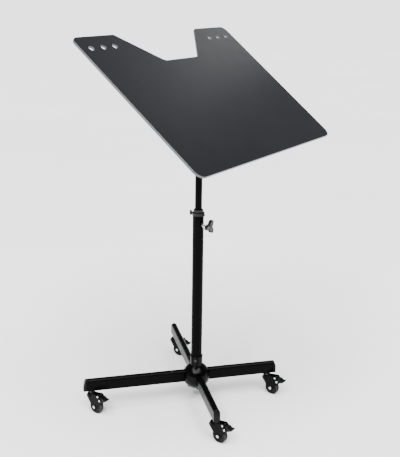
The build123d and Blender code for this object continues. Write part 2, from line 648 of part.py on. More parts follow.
def sleeve_screw():
    """Pan-head screw that holds the column in the sleeve."""
    seat = SLEEVE_DIA / 2
    shank = rod(SLEEVE_SCREW_DIA, sleeve_screw_line(TUBE_BORE / 2 + FACE_GAP), sleeve_screw_line(seat + 1))
    crown = seat + SLEEVE_SCREW_HEAD_PROUD
    head = rod(2 * SLEEVE_SCREW_DIA, sleeve_screw_line(seat - 1), sleeve_screw_line(crown))
    head -= rod(SLEEVE_DIA, (0, 0, SLEEVE_SEAT_Z), (0, 0, SLEEVE_TOP_Z))
    return head + shank


# ---------------------------------------------------------------- castors

def at_stem(corner, part):
    """Carry a castor part from the origin to its arm's stem."""
    angle, reach = ARMS[corner]
    turn = radians(angle + BASE_TURN)
    return Pos(reach * cos(turn), reach * sin(turn), 0) * Rot(0, 0, CASTOR_TURN) * part


def trailing(place):
    """(Y, Z) of a place given as distance behind the stem and height."""
    back, height = place
    return (-back, height)


def across(diameter, place, low, high):
    """Round bar across the castor from x = low to x = high."""
    y, z = trailing(place)
    return rod(diameter, (low, y, z), (high, y, z))


def castor_fork():
    """Pressed fork: a round head on the stem and two cheeks round the wheel."""
    axle = Pos(*trailing((TRAIL, WHEEL_RADIUS))) * Circle(CHEEK_AXLE_RADIUS)
    front = Pos(*trailing(CHEEK_FRONT)) * Circle(CHEEK_FRONT_RADIUS)
    pivot = Pos(*trailing(PEDAL_PIVOT)) * Circle(PEDAL_PIVOT_RADIUS)
    stop = Pos(*trailing(STOP_PIN)) * Circle(STOP_PIN_RADIUS)
    cheek = make_hull(axle.edges() + front.edges() + pivot.edges() + stop.edges())
    head = rod(2 * HEAD_RADIUS, (0, 0, HEAD_FLOOR_Z), (0, 0, HEAD_TOP_Z))
    head = fillet(head.edges().sort_by(Axis.Z)[-1], HEAD_ROUND)
    body = head
    for low in (CHEEK_INSIDE, -CHEEK_OUTSIDE):
        body += side_profile(cheek, low, low + CHEEK_THICK)
    body -= rod(KINGPIN_DIA + 2 * RUNNING_FIT, (0, 0, HEAD_FLOOR_Z - 1), (0, 0, HEAD_TOP_Z + 1))
    wide = CHEEK_OUTSIDE + 1
    body -= across(AXLE_DIA, (TRAIL, WHEEL_RADIUS), -wide, wide)
    body -= across(BRAKE_PIN_DIA, PEDAL_PIVOT, -wide, wide)
    return body - across(BRAKE_PIN_DIA, STOP_PIN, -wide, wide)


def castor_axle():
    """Axle bolt with its head and nut outside the cheeks."""
    place = (TRAIL, WHEEL_RADIUS)
    y, z = trailing(place)
    outer = CHEEK_OUTSIDE + AXLE_HEAD_THICK
    body = across(AXLE_DIA, place, -outer, outer)
    for low, high in ((-outer, -CHEEK_OUTSIDE), (CHEEK_OUTSIDE, outer)):
        body += Pos(0, y, z) * Rot(0, 90, 0) * hex_bar(AXLE_HEAD_FLATS, low, high)
    return body


def brake_pins():
    """Stop pin and pedal pin, riveted through both cheeks."""
    pins = []
    for place in (PEDAL_PIVOT, STOP_PIN):
        outer = CHEEK_OUTSIDE + BRAKE_PIN_HEAD_THICK
        pin = across(BRAKE_PIN_DIA, place, -outer, outer)
        for side in (-1, 1):
            seat = side * CHEEK_OUTSIDE
            head = across(BRAKE_PIN_HEAD_DIA, place, seat, seat + side * BRAKE_PIN_HEAD_THICK)
            rim = head.edges().sort_by(Axis.X)[-1 if side > 0 else 0]
            pin += fillet(rim, 0.8 * BRAKE_PIN_HEAD_THICK)
        pins.append(pin)
    return pins


def wheel_core():
    place = (TRAIL, WHEEL_RADIUS)
    half = WHEEL_WIDTH / 2
    core = across(2 * WHEEL_CORE_RADIUS, place, -half, half)
    for side in (-1, 1):
        dish = across(2 * (WHEEL_CORE_RADIUS - CORE_RIM), place, side * (half - CORE_DISH), side * (half + 1))
        core -= dish - across(CORE_BOSS_DIA, place, side * (half - CORE_DISH - 1), side * (half + 2))
    return core - across(AXLE_DIA + 2 * RUNNING_FIT, place, -half - 1, half + 1)


def tyre():
    place = (TRAIL, WHEEL_RADIUS)
    half = WHEEL_WIDTH / 2
    tread = across(2 * WHEEL_RADIUS, place, -half, half)
    tread = fillet(tread.edges().filter_by(GeomType.CIRCLE), TREAD_ROUND)
    return tread - across(2 * WHEEL_CORE_RADIUS, place, -half - 1, half + 1)


def brake_shoe_tip():
    """Tip of the brake shoe, which the pedal's full swing brings to FACE_GAP from the tyre."""
    pivot_t, pivot_z = PEDAL_PIVOT
    to_axle = atan2(WHEEL_RADIUS - pivot_z, TRAIL - pivot_t)
    reach = hypot(WHEEL_RADIUS - pivot_z, TRAIL - pivot_t) - WHEEL_RADIUS - FACE_GAP
    angle = to_axle + radians(PEDAL_SWING)
    return pivot_t + reach * cos(angle), pivot_z + reach * sin(angle)


def brake_pedal():
    """Pedal with a shoe by the tyre, a flat hump behind the stop pin and a thin toe."""
    pivot_t, pivot_z = PEDAL_PIVOT
    front = STOP_PIN[0] + BRAKE_PIN_DIA / 2 + PEDAL_BEHIND_STOP
    hump_z = pivot_z + PEDAL_HUMP_RISE
    hump_end = front + PEDAL_SHOULDER + PEDAL_HUMP_LENGTH
    toe_z = pivot_z + PEDAL_TOE_RISE
    tip = pivot_t + PEDAL_REACH
    tip_t, tip_z = brake_shoe_tip()
    outline = [
        (tip_t - 1, tip_z + SHOE_THICK),
        (front, pivot_z + PEDAL_TOE_THICK),
        (front, hump_z - PEDAL_SHOULDER),
        (front + PEDAL_SHOULDER, hump_z),
        (hump_end, hump_z),
        (tip - PEDAL_TOE_LENGTH, toe_z),
        (tip, toe_z + 1),
        (tip, toe_z - PEDAL_TOE_THICK),
        (tip - PEDAL_TOE_LENGTH, pivot_z),
        (pivot_t + PEDAL_PIVOT_RADIUS, pivot_z - PEDAL_BELLY_DROP),
        (tip_t + SHOE_THICK, tip_z),
        (tip_t, tip_z),
    ]
    plan = Polygon(*[trailing(point) for point in outline], align=None)
    plan = fillet(plan.vertices(), PEDAL_CORNER)
    plan += Pos(*trailing(PEDAL_PIVOT)) * Circle(PEDAL_PIVOT_RADIUS - 1)
    body = side_profile(plan, -PEDAL_HALF_WIDTH, PEDAL_HALF_WIDTH)
    return body - across(BRAKE_PIN_DIA + 2 * RUNNING_FIT, PEDAL_PIVOT, -CHEEK_INSIDE, CHEEK_INSIDE)


def castor_stem():
    """Kingpin riveted under the fork's head, with a hexagon and a thread above it."""
    rivet_top = HEAD_FLOOR_Z - FACE_GAP
    rivet = rod(KINGPIN_RIVET_DIA, (0, 0, rivet_top - KINGPIN_RIVET_THICK), (0, 0, rivet_top))
    pin = rod(KINGPIN_DIA, (0, 0, rivet_top - 1), (0, 0, STEM_THREAD_TOP_Z))
    return rivet + pin + hex_bar(STEM_HEX_FLATS, STEM_HEX_Z, LOCK_NUT_Z)


def lock_nut():
    """Nut that locks the stem against the arm's floor."""
    nut = hex_bar(LOCK_NUT_FLATS, LOCK_NUT_Z, ARM_FLOOR_Z)
    return nut - rod(KINGPIN_DIA, (0, 0, LOCK_NUT_Z - 1), (0, 0, ARM_FLOOR_Z + 1))


def stem_insert():
    """Threaded bush welded to the arm's floor, inside the tube."""
    low = ARM_FLOOR_Z + ARM_WALL
    return rod(INSERT_DIA, (0, 0, low), (0, 0, STEM_THREAD_TOP_Z)) - rod(
        KINGPIN_DIA, (0, 0, low - 1), (0, 0, STEM_THREAD_TOP_Z + 1)
    )


def at_every_stem(part):
    """One copy of a part at each of the four stems."""
    return Compound(children=[at_stem(corner, part) for corner in ARMS])


# ---------------------------------------------------------------- all nodes

def lectern():
    """Every node of the lectern by name."""
    nodes = {
        "board": board(),
        "board_screws": board_screws(),
        "tilt_bracket": tilt_bracket(),
        "tilt_eye": tilt_eye(),
        "tilt_washers": tilt_washers(),
        "tilt_pin": tilt_pin(),
        "tilt_knob": tilt_knob(),
        "column_tube": column_tube(),
        "mast_tube": mast_tube(),
        "mast_glide": mast_glide(),
        "top_bush": top_bush(),
        "collar": collar(),
        "collar_wing_screw": collar_wing_screw(),
        "clamp_boss": clamp_boss(),
        "clamp_pad": clamp_pad(),
        "clamp_stud": clamp_stud(),
        "clamp_knob": clamp_knob(),
        "hub": hub(),
        "hub_cover": hub_cover(),
        "sleeve_screw": sleeve_screw(),
        "arm_bolts": arm_bolts(),
        "arm_nuts": arm_nuts(),
        "castor_stems": at_every_stem(castor_stem()),
        "lock_nuts": at_every_stem(lock_nut()),
        "stem_inserts": at_every_stem(stem_insert()),
    }
    pins = brake_pins()
    for corner, (angle, reach) in ARMS.items():
        nodes[f"arm_{corner}"] = arm(angle, reach)
        nodes[f"arm_plug_{corner}"] = arm_plug(angle, reach)
        nodes[f"castor_fork_{corner}"] = at_stem(corner, castor_fork())
        nodes[f"castor_axle_{corner}"] = at_stem(corner, castor_axle())
        nodes[f"brake_pins_{corner}"] = Compound(children=[at_stem(corner, pin) for pin in pins])
        nodes[f"wheel_core_{corner}"] = at_stem(corner, wheel_core())
        nodes[f"tyre_{corner}"] = at_stem(corner, tyre())
        nodes[f"brake_pedal_{corner}"] = at_stem(corner, brake_pedal())
    return nodes


os.makedirs("parts", exist_ok=True)
for name, shape in lectern().items():
    export_step(shape, f"parts/{name}.step")
    print(f"{name}: {shape.volume / 1000:.1f} cm3")
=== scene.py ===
"""Presentation lectern on castors: the looks of every piece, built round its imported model.

Metres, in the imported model's own frame: the origin is on the floor under the column, X runs
along the width of the board, +Y points to the board's high edge and +Z is up.
"""

import json
import logging
import math
from abc import ABC, abstractmethod
from collections.abc import Callable
from dataclasses import dataclass, field
from enum import Enum
from typing import Any, ClassVar

import bpy
import numpy as np
from mathutils import Matrix, Vector

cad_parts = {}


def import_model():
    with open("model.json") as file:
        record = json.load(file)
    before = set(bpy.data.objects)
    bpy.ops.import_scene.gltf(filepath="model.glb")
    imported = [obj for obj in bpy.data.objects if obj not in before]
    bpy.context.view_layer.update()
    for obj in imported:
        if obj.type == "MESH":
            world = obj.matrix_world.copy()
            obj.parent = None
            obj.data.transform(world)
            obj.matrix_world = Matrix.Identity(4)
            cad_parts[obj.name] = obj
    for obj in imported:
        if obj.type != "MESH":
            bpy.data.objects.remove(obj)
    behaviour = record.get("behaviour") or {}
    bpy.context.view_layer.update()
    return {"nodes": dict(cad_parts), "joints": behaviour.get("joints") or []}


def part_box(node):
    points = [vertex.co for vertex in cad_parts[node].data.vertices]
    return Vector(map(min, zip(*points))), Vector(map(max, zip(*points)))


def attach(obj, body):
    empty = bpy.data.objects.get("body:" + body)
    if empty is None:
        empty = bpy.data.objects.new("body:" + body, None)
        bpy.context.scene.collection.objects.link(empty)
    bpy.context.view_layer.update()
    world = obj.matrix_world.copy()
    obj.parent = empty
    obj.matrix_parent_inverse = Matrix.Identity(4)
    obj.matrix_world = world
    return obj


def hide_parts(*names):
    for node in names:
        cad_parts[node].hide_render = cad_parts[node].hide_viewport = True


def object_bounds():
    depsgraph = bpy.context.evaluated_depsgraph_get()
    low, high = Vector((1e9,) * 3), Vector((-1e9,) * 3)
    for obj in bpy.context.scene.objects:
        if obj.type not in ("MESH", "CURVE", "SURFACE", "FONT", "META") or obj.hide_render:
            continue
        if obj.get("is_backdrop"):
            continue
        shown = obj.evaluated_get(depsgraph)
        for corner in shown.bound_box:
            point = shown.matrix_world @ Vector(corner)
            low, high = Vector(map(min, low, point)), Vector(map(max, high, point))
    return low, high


MM = 0.001
FULL_TURN = 2.0 * math.pi
WEAR = "wear"
CORNERS = ("rear_left", "rear_right", "front_left", "front_right")
Rows = tuple[np.ndarray, np.ndarray]
log = logging.getLogger("lectern")


# ------------------------------------------------------------------ finishes


class Bench:
    """A material's node tree, with short calls for the patterns that the finishes share."""

    def __init__(self, label: str) -> None:
        """Start a material on the object's own coordinates.

        Args:
            label: the material's name.
        """
        self.material = bpy.data.materials.new(label)
        self.material.use_nodes = True
        self.tree = self.material.node_tree
        self.shader = self.tree.nodes["Principled BSDF"]
        coordinates = self.tree.nodes.new("ShaderNodeTexCoord")
        self.place = coordinates.outputs["Object"]
        self.normal = coordinates.outputs["Normal"]

    def node(self, kind: str, inputs: dict[Any, Any], **settings: Any) -> bpy.types.Node:
        """Add a node.

        Args:
            kind: the node's type name.
            inputs: sockets to link, or plain values to set, by the input's name or number.
            settings: the node's own properties.

        Returns:
            The new node.
        """
        made = self.tree.nodes.new(kind)
        for name, value in settings.items():
            setattr(made, name, value)
        for name, value in inputs.items():
            if isinstance(value, bpy.types.NodeSocket):
                self.tree.links.new(value, made.inputs[name])
            else:
                made.inputs[name].default_value = value
        return made

    def noise(
        self,
        scale: float,
        detail: float = 3.0,
        rough: float = 0.5,
        stretch: tuple[float, float, float] = (1.0, 1.0, 1.0),
    ) -> bpy.types.NodeSocket:
        """Cloudy pattern between 0 and 1.

        Args:
            scale: how many clouds there are in a metre.
            detail: octaves of finer clouds.
            rough: share of each finer octave.
            stretch: factors on the three directions; a small one draws the clouds out.

        Returns:
            The pattern's socket.
        """
        spot = self.node("ShaderNodeMapping", {"Vector": self.place, "Scale": stretch})
        inputs = {"Vector": spot.outputs[0], "Scale": scale, "Detail": detail, "Roughness": rough}
        return self.node("ShaderNodeTexNoise", inputs).outputs[0]

    def cells(self, scale: float) -> bpy.types.NodeSocket:
        """Distance to the nearest of many scattered points, for pores and pebbles.

        Args:
            scale: how many points there are in a metre.

        Returns:
            The pattern's socket.
        """
        inputs = {"Vector": self.place, "Scale": scale}
        return self.node("ShaderNodeTexVoronoi", inputs).outputs["Distance"]

    def spread(
        self, value: bpy.types.NodeSocket, low: float, high: float, start: float, end: float
    ) -> bpy.types.NodeSocket:
        """Carry the range from low to high over to the range from start to end, smoothly.

        Args:
            value: the pattern to carry over.
            low: pattern value that becomes start.
            high: pattern value that becomes end.
            start: first value of the result.
            end: last value of the result.

        Returns:
            The carried pattern's socket.
        """
        inputs = {"Value": value, 1: low, 2: high, 3: start, 4: end}
        return self.node("ShaderNodeMapRange", inputs, interpolation_type="SMOOTHSTEP").outputs[0]

    def mixed(
        self,
        share: bpy.types.NodeSocket,
        first: "bpy.types.NodeSocket | tuple[float, float, float]",
        second: "bpy.types.NodeSocket | tuple[float, float, float]",
    ) -> bpy.types.NodeSocket:
        """Blend two colours.

        Args:
            share: 0 gives the first colour and 1 the second.
            first: a colour or a colour socket.
            second: a colour or a colour socket.

        Returns:
            The blended colour's socket.
        """
        ends = [c if isinstance(c, bpy.types.NodeSocket) else (*c, 1.0) for c in (first, second)]
        inputs = {0: share, 6: ends[0], 7: ends[1]}
        return self.node("ShaderNodeMix", inputs, data_type="RGBA").outputs[2]

    def relief(self, *layers: tuple[bpy.types.NodeSocket, float, float]) -> None:
        """Raise patterns on the surface, one over the other.

        Args:
            layers: each a pattern, the strength of its relief and its depth in metres.
        """
        normal = None
        for pattern, strength, depth in layers:
            inputs = {"Height": pattern, "Strength": strength, "Distance": depth}
            if normal is not None:
                inputs["Normal"] = normal
            normal = self.node("ShaderNodeBump", inputs).outputs[0]
        self.tree.links.new(normal, self.shader.inputs["Normal"])

    def set(self, **values: Any) -> None:
        """Set or link the shader's own sockets, named with _ for a space."""
        for name, value in values.items():
            socket = self.shader.inputs[name.replace("_", " ")]
            if isinstance(value, bpy.types.NodeSocket):
                self.tree.links.new(value, socket)
            else:
                socket.default_value = value


@dataclass(frozen=True)
class Finish(ABC):
    """A finish that a piece can be given."""

    label: str
    slot: str

    def material(self) -> bpy.types.Material:
        """Make the finish's material."""
        bench = Bench(self.label)
        self.paint(bench)
        return bench.material

    @abstractmethod
    def paint(self, bench: Bench) -> None:
        """Lay the finish's patterns.

        Args:
            bench: the material to work on.
        """


@dataclass(frozen=True)
class Laminate(Finish):
    """Satin laminate with painted sheen on its edges: a fine pebbled skin, faint clouds, hand marks, and a
    pale edge colour that stands in for the light the edges catch.
    """

    dark: tuple[float, float, float] = (0.0024, 0.0029, 0.0042)
    light: tuple[float, float, float] = (0.0034, 0.0040, 0.0056)
    # Painted sheen: a pale colour on the board's edges in place of the light that they catch.
    edge: tuple[float, float, float] = (0.085, 0.088, 0.094)
    upright: tuple[float, float, float] = (0.0, -0.606, 0.7955)
    pebbles_per_metre: float = 900.0

    def paint(self, bench: Bench) -> None:
        """Lay cloudy colour, a painted sheen on the edge, a pebbled relief and patches of hand polish.

        The edge is where the surface turns away from the board's upright direction.

        Args:
            bench: the material to work on.
        """
        clouds = bench.noise(7.0, 5.0, 0.6)
        grain = bench.noise(self.pebbles_per_metre, 2.0)
        fleck = bench.spread(grain, 0.35, 0.75, 0.0, 0.35)
        base = bench.mixed(bench.spread(clouds, 0.3, 0.7, 0.0, 1.0), self.dark, self.light)
        faced = bench.mixed(fleck, base, (0.0085, 0.0095, 0.0120))
        # Painted sheen: surfaces that turn away from the upright direction, the edges, take the pale edge
        # colour.
        facing = bench.node(
            "ShaderNodeVectorMath", {0: bench.normal, 1: self.upright}, operation="DOT_PRODUCT"
        ).outputs["Value"]
        square = bench.node("ShaderNodeMath", {0: facing, 1: facing}, operation="MULTIPLY").outputs[0]
        colour = bench.mixed(bench.spread(square, 0.15, 0.75, 0.0, 1.0), self.edge, faced)
        marks = bench.noise(16.0, 4.0, 0.65)
        rough = bench.spread(marks, 0.38, 0.68, 0.285, 0.315)
        pebbles = bench.cells(self.pebbles_per_metre)
        bench.relief((pebbles, 0.045, 0.0001), (bench.noise(240.0, 2.0), 0.015, 0.0003))
        bench.set(Base_Color=colour, Roughness=rough, Specular_IOR_Level=0.42)


@dataclass(frozen=True)
class Coating(Finish):
    """Powder coat: orange peel, small pits, and dust rubbed into the low places."""

    colour: tuple[float, float, float] = (0.0005, 0.0005, 0.0006)
    dust: tuple[float, float, float] = (0.0024, 0.0024, 0.0025)
    gloss: float = 0.30
    peel: float = 0.16
    lustre: float = 0.035

    def paint(self, bench: Bench) -> None:
        """Lay a peel relief, dusty patches and a roughness that drifts.

        Args:
            bench: the material to work on.
        """
        patches = bench.noise(24.0, 5.0, 0.62)
        dusty = bench.spread(patches, 0.52, 0.80, 0.0, 0.55)
        specks = bench.spread(bench.cells(520.0), 0.0, 0.10, 0.35, 0.0)
        colour = bench.mixed(specks, bench.mixed(dusty, self.colour, self.dust), self.dust)
        rough = bench.spread(bench.noise(60.0, 3.0), 0.3, 0.7, self.gloss, self.gloss + 0.12)
        peel = bench.noise(420.0, 2.0, 0.4)
        bench.relief((peel, self.peel, 0.0006), (bench.noise(1900.0, 1.0), 0.05, 0.0002))
        bench.set(Base_Color=colour, Roughness=rough, Specular_IOR_Level=self.lustre)


@dataclass(frozen=True)
class Casting(Finish):
    """Die casting under a thin grey paint: mottled, with a sandy skin and rubbed high spots."""

    colour: tuple[float, float, float] = (0.0050, 0.0052, 0.0055)
    rubbed: tuple[float, float, float] = (0.075, 0.076, 0.079)

    def paint(self, bench: Bench) -> None:
        """Lay mottled paint, rubbed spots and a sandy relief.

        Args:
            bench: the material to work on.
        """
        mottle = bench.noise(180.0, 4.0, 0.6)
        base = bench.mixed(bench.spread(mottle, 0.3, 0.7, 0.0, 1.0), self.colour, (0.012, 0.0125, 0.013))
        worn = bench.spread(bench.noise(420.0, 5.0, 0.7), 0.60, 0.74, 0.0, 0.8)
        rough = bench.spread(mottle, 0.3, 0.7, 0.30, 0.46)
        bench.relief((bench.noise(900.0, 3.0), 0.22, 0.0005), (mottle, 0.10, 0.0010))
        bench.set(
            Base_Color=bench.mixed(worn, base, self.rubbed),
            Roughness=rough,
            Metallic=bench.spread(worn, 0.0, 0.8, 0.02, 0.65),
            Specular_IOR_Level=0.25,
        )


@dataclass(frozen=True)
class Plated(Finish):
    """Bare or plated metal: turned lines round it, faint stains and small scratches."""

    colour: tuple[float, float, float] = (0.76, 0.77, 0.79)
    stain: tuple[float, float, float] = (0.42, 0.42, 0.43)
    rough: float = 0.16

    def paint(self, bench: Bench) -> None:
        """Lay stains, drawn-out scratches and a fine relief.

        Args:
            bench: the material to work on.
        """
        stains = bench.spread(bench.noise(140.0, 5.0, 0.65), 0.46, 0.78, 0.0, 0.75)
        scratches = bench.noise(1500.0, 2.0, 0.5, (1.0, 1.0, 0.08))
        lines = bench.spread(scratches, 0.35, 0.7, 0.0, 0.35)
        colour = bench.mixed(lines, bench.mixed(stains, self.colour, self.stain), self.stain)
        rough = bench.spread(scratches, 0.3, 0.7, self.rough, self.rough + 0.16)
        bench.relief((scratches, 0.12, 0.0002))
        bench.set(Base_Color=colour, Roughness=rough, Metallic=1.0)


@dataclass(frozen=True)
class Moulding(Finish):
    """Moulded plastic: a spark-eroded skin, faint flow clouds and handling shine."""

    colour: tuple[float, float, float] = (0.0018, 0.0018, 0.0020)
    flow: tuple[float, float, float] = (0.0045, 0.0045, 0.0048)
    rough: float = 0.38
    skin_per_metre: float = 1400.0
    lustre: float = 0.12

    def paint(self, bench: Bench) -> None:
        """Lay flow clouds, the eroded skin and patches of shine.

        Args:
            bench: the material to work on.
        """
        clouds = bench.noise(55.0, 4.0, 0.6, (1.0, 0.5, 1.6))
        colour = bench.mixed(bench.spread(clouds, 0.38, 0.72, 0.0, 1.0), self.colour, self.flow)
        shine = bench.noise(38.0, 3.0)
        rough = bench.spread(shine, 0.3, 0.7, self.rough - 0.06, self.rough + 0.10)
        skin = bench.noise(self.skin_per_metre, 3.0, 0.6)
        bench.relief((skin, 0.20, 0.0003), (bench.noise(260.0, 2.0), 0.06, 0.0006))
        bench.set(Base_Color=colour, Roughness=rough, Specular_IOR_Level=self.lustre)


@dataclass(frozen=True)
class Rubber(Finish):
    """Tyre rubber: a dark compound, finely pitted, with grey dust and scuffs on the tread."""

    colour: tuple[float, float, float] = (0.0022, 0.0022, 0.0024)
    dust: tuple[float, float, float] = (0.042, 0.042, 0.043)

    def paint(self, bench: Bench) -> None:
        """Lay pits, and dust and scuffs that grow with the wear.

        Args:
            bench: the material to work on.
        """
        worn = bench.node("ShaderNodeAttribute", {}, attribute_name=WEAR).outputs["Fac"]
        dust = bench.noise(120.0, 6.0, 0.68)
        low_dust = bench.spread(dust, 0.34, 0.78, 0.0, 0.35)
        high_dust = bench.spread(dust, 0.20, 0.78, 0.35, 1.0)
        dusty = bench.node("ShaderNodeMix", {0: worn, 2: low_dust, 3: high_dust}).outputs[0]
        scuffs = bench.spread(bench.noise(700.0, 3.0), 0.58, 0.72, 0.0, 0.45)
        scuffed = bench.node("ShaderNodeMath", {0: scuffs, 1: worn}, operation="MULTIPLY").outputs[0]
        colour = bench.mixed(scuffed, bench.mixed(dusty, self.colour, self.dust), (0.09, 0.09, 0.09))
        rough = bench.spread(dusty, 0.0, 1.0, 0.62, 0.90)
        bench.relief((bench.cells(1500.0), 0.20, 0.0003), (bench.noise(300.0, 3.0), 0.12, 0.0008))
        bench.set(Base_Color=colour, Roughness=rough, Specular_IOR_Level=0.10)


class Look(Enum):
    """The finishes of this lectern's pieces."""

    BOARD = Laminate("board_laminate", "board_laminate")
    TUBE = Coating("column_coat", "black_coat")
    ARM = Coating("arm_coat", "black_coat", gloss=0.18, peel=0.08, lustre=0.045)
    HUB = Coating("hub_coat", "black_coat", gloss=0.16, peel=0.08, lustre=0.09)
    FORK = Coating("fork_coat", "black_coat", gloss=0.20, peel=0.08, lustre=0.06)
    CAST = Casting("cast_grey", "cast_grey")
    CHROME = Plated("bright_plate", "chrome")
    BLACKED = Plated("blacked_steel", "black_screw", (0.030, 0.030, 0.032), (0.09, 0.088, 0.085), 0.34)
    BRASS = Plated("turned_brass", "brass", (0.62, 0.44, 0.18), (0.36, 0.25, 0.11), 0.24)
    NYLON = Moulding("black_nylon", "black_nylon")
    KNOB = Moulding(
        "knob_nylon", "black_nylon", (0.0065, 0.0068, 0.0072), (0.013, 0.0135, 0.0145), 0.28, lustre=0.5
    )
    BUSH = Moulding("bush_plastic", "bush_plastic", (0.028, 0.028, 0.029), (0.045, 0.045, 0.046), 0.45)
    TYRE = Rubber("tyre_rubber", "tyre_rubber")


class Dresser:
    """Gives pieces their finishes, and makes each material once."""

    def __init__(self, nodes: dict[str, bpy.types.Object]) -> None:
        """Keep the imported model's nodes.

        Args:
            nodes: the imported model's objects by name.
        """
        self.nodes = nodes
        self.made: dict[Look, bpy.types.Material] = {}

    def material(self, look: Look) -> bpy.types.Material:
        """The one material of a finish."""
        if look not in self.made:
            self.made[look] = look.value.material()
        return self.made[look]

    def dress(self, look: Look, *names: str) -> None:
        """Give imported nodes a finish, in place of the plain one they came with.

        Args:
            look: the finish.
            names: the nodes' names.
        """
        for name in names:
            mesh = self.nodes[name].data
            mesh.materials.clear()
            mesh.materials.append(self.material(look))
            log.info("dressed %s in %s", name, look.name)


# ------------------------------------------------------------------ surfaces


@dataclass(frozen=True)
class Stand:
    """A place to build at: an origin, and three axes as the rows of a matrix."""

    origin: np.ndarray
    axes: np.ndarray

    @classmethod
    def facing(cls, origin: Any, axis: Any, side: Any) -> "Stand":
        """Stand with its third axis along axis, and its first near side.

        Args:
            origin: the place, in metres.
            axis: direction of the third axis.
            side: direction that the first axis comes nearest to.

        Returns:
            The stand, with right-handed axes.
        """
        third = np.array(axis, float) / np.linalg.norm(axis)
        first = np.array(side, float) - np.dot(side, third) * third
        first /= np.linalg.norm(first)
        return cls(np.array(origin, float), np.array([first, np.cross(third, first), third]))

    def carry(self, points: np.ndarray) -> np.ndarray:
        """Take points from this stand to the model's frame."""
        return self.origin + points @ self.axes

    def moved(self, direction: int, place: float) -> "Stand":
        """The stand with one number of its origin, counted from 0, set to a place."""
        return Stand(np.where(np.arange(3) == direction, place, self.origin), self.axes)


def ring_faces(rows: int, columns: int, looped: bool) -> list[list[int]]:
    """Faces between rows of points, each of which is a ring.

    Args:
        rows: number of rows.
        columns: number of points in a row.
        looped: whether the last row joins the first; if not, a fan closes each end, and the
            fans' two middle points come after all the others.

    Returns:
        The point numbers of each face.
    """
    numbers = np.arange(rows * columns).reshape(rows, columns)
    lower = numbers if looped else numbers[:-1]
    upper = np.roll(numbers, -1, axis=0) if looped else numbers[1:]
    quads = np.stack([lower, np.roll(lower, -1, axis=1), np.roll(upper, -1, axis=1), upper], axis=-1)
    faces = quads.reshape(-1, 4).tolist()
    if not looped:
        floor, top = numbers[0], numbers[-1]
        middle = np.full(columns, rows * columns)
        faces += np.stack([np.roll(floor, -1), floor, middle], axis=-1).tolist()
        faces += np.stack([top, np.roll(top, -1), middle + 1], axis=-1).tolist()
    return faces


@dataclass(frozen=True)
class Skin:
    """A closed surface: points in metres, faces with three or four corners, and wear by point."""

    points: np.ndarray
    faces: list[list[int]]
    wear: np.ndarray | None = None

    @classmethod
    def turned(cls, radii: np.ndarray, heights: np.ndarray, looped: bool = False) -> "Skin":
        """Surface round the third axis, row by row.

        A point of row i and column j stands at the angle j / columns of a full turn, at the
        distance radii[i, j] from the axis and at the height heights[i, j].  An open stack of
        rows is closed by a middle point at each end, and a looped one by joining its last row
        to its first.  Rows that rise on the outside face outwards.

        Args:
            radii: distances by row and column.
            heights: heights by row and column, or by row with one column.
            looped: whether the rows join into a ring.

        Returns:
            The surface.
        """
        rows, columns = radii.shape
        turn = np.arange(columns) * FULL_TURN / columns
        across = [radii * np.cos(turn), radii * np.sin(turn), np.broadcast_to(heights, radii.shape)]
        grid = np.stack(across, axis=-1)
        points = grid.reshape(-1, 3)
        if not looped:
            ends = np.array([grid[0].mean(axis=0), grid[-1].mean(axis=0)])
            ends[:, :2] = 0.0
            points = np.concatenate([points, ends])
        return cls(points, ring_faces(rows, columns, looped))

    @classmethod
    def drawn(cls, path: np.ndarray, sides: np.ndarray, section: np.ndarray) -> "Skin":
        """Surface of a section drawn along a path.

        The section's first number runs along the path's side direction and its second along
        the direction square to both the path and its side.

        Args:
            path: points of the path.
            sides: unit side direction at each point.
            section: section by path point and corner, as pairs, counterclockwise.

        Returns:
            The surface, with a middle point at each end.
        """
        ahead = np.gradient(path, axis=0)
        ahead /= np.linalg.norm(ahead, axis=1, keepdims=True)
        ups = np.cross(ahead, sides)
        grid = path[:, None] + section[..., :1] * sides[:, None] + section[..., 1:] * ups[:, None]
        points = np.concatenate([grid.reshape(-1, 3), grid[:1].mean(axis=1), grid[-1:].mean(axis=1)])
        return cls(points, ring_faces(*section.shape[:2], False))

    @classmethod
    def joined(cls, skins: "list[Skin]") -> "Skin":
        """Several surfaces as one piece."""
        starts = np.cumsum([0] + [len(s.points) for s in skins])
        faces = [[c + int(n) for c in f] for s, n in zip(skins, starts) for f in s.faces]
        return cls(np.concatenate([s.points for s in skins]), faces)

    def at(self, stand: Stand) -> "Skin":
        """The surface carried to a stand."""
        return Skin(stand.carry(self.points), self.faces, self.wear)


@dataclass
class Shop:
    """Makes pieces of surfaces, which ride on the model's bodies."""

    dresser: Dresser
    sharp_deg: float = 34.0

    def piece(
        self, name: str, skin: Skin, look: Look, body: str, stands_for: tuple[str, ...] = ()
    ) -> bpy.types.Object:
        """Make a piece of a surface.

        Args:
            name: the piece's name.
            skin: its surface, in the model's frame.
            look: its finish.
            body: the body that it moves with.
            stands_for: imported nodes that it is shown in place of.

        Returns:
            The piece.
        """
        mesh = bpy.data.meshes.new(name)
        mesh.from_pydata(skin.points.tolist(), [], skin.faces)
        mesh.update()
        mesh.polygons.foreach_set("use_smooth", np.ones(len(mesh.polygons), bool))
        mesh.set_sharp_from_angle(angle=math.radians(self.sharp_deg))
        mesh.materials.append(self.dresser.material(look))
        if skin.wear is not None:
            mesh.attributes.new(WEAR, "FLOAT", "POINT").data.foreach_set("value", skin.wear)
        made = bpy.data.objects.new(name, mesh)
        bpy.context.scene.collection.objects.link(made)
        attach(made, body)
        if stands_for:
            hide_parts(*stands_for)
        log.info("made %s: %d points, on %s", name, len(skin.points), body)
        return made


def column_of(*values: Any) -> np.ndarray:
    """Numbers and runs of numbers, one after the other, as a column."""
    return np.concatenate([np.atleast_1d(np.asarray(v, float)) for v in values])[:, None]


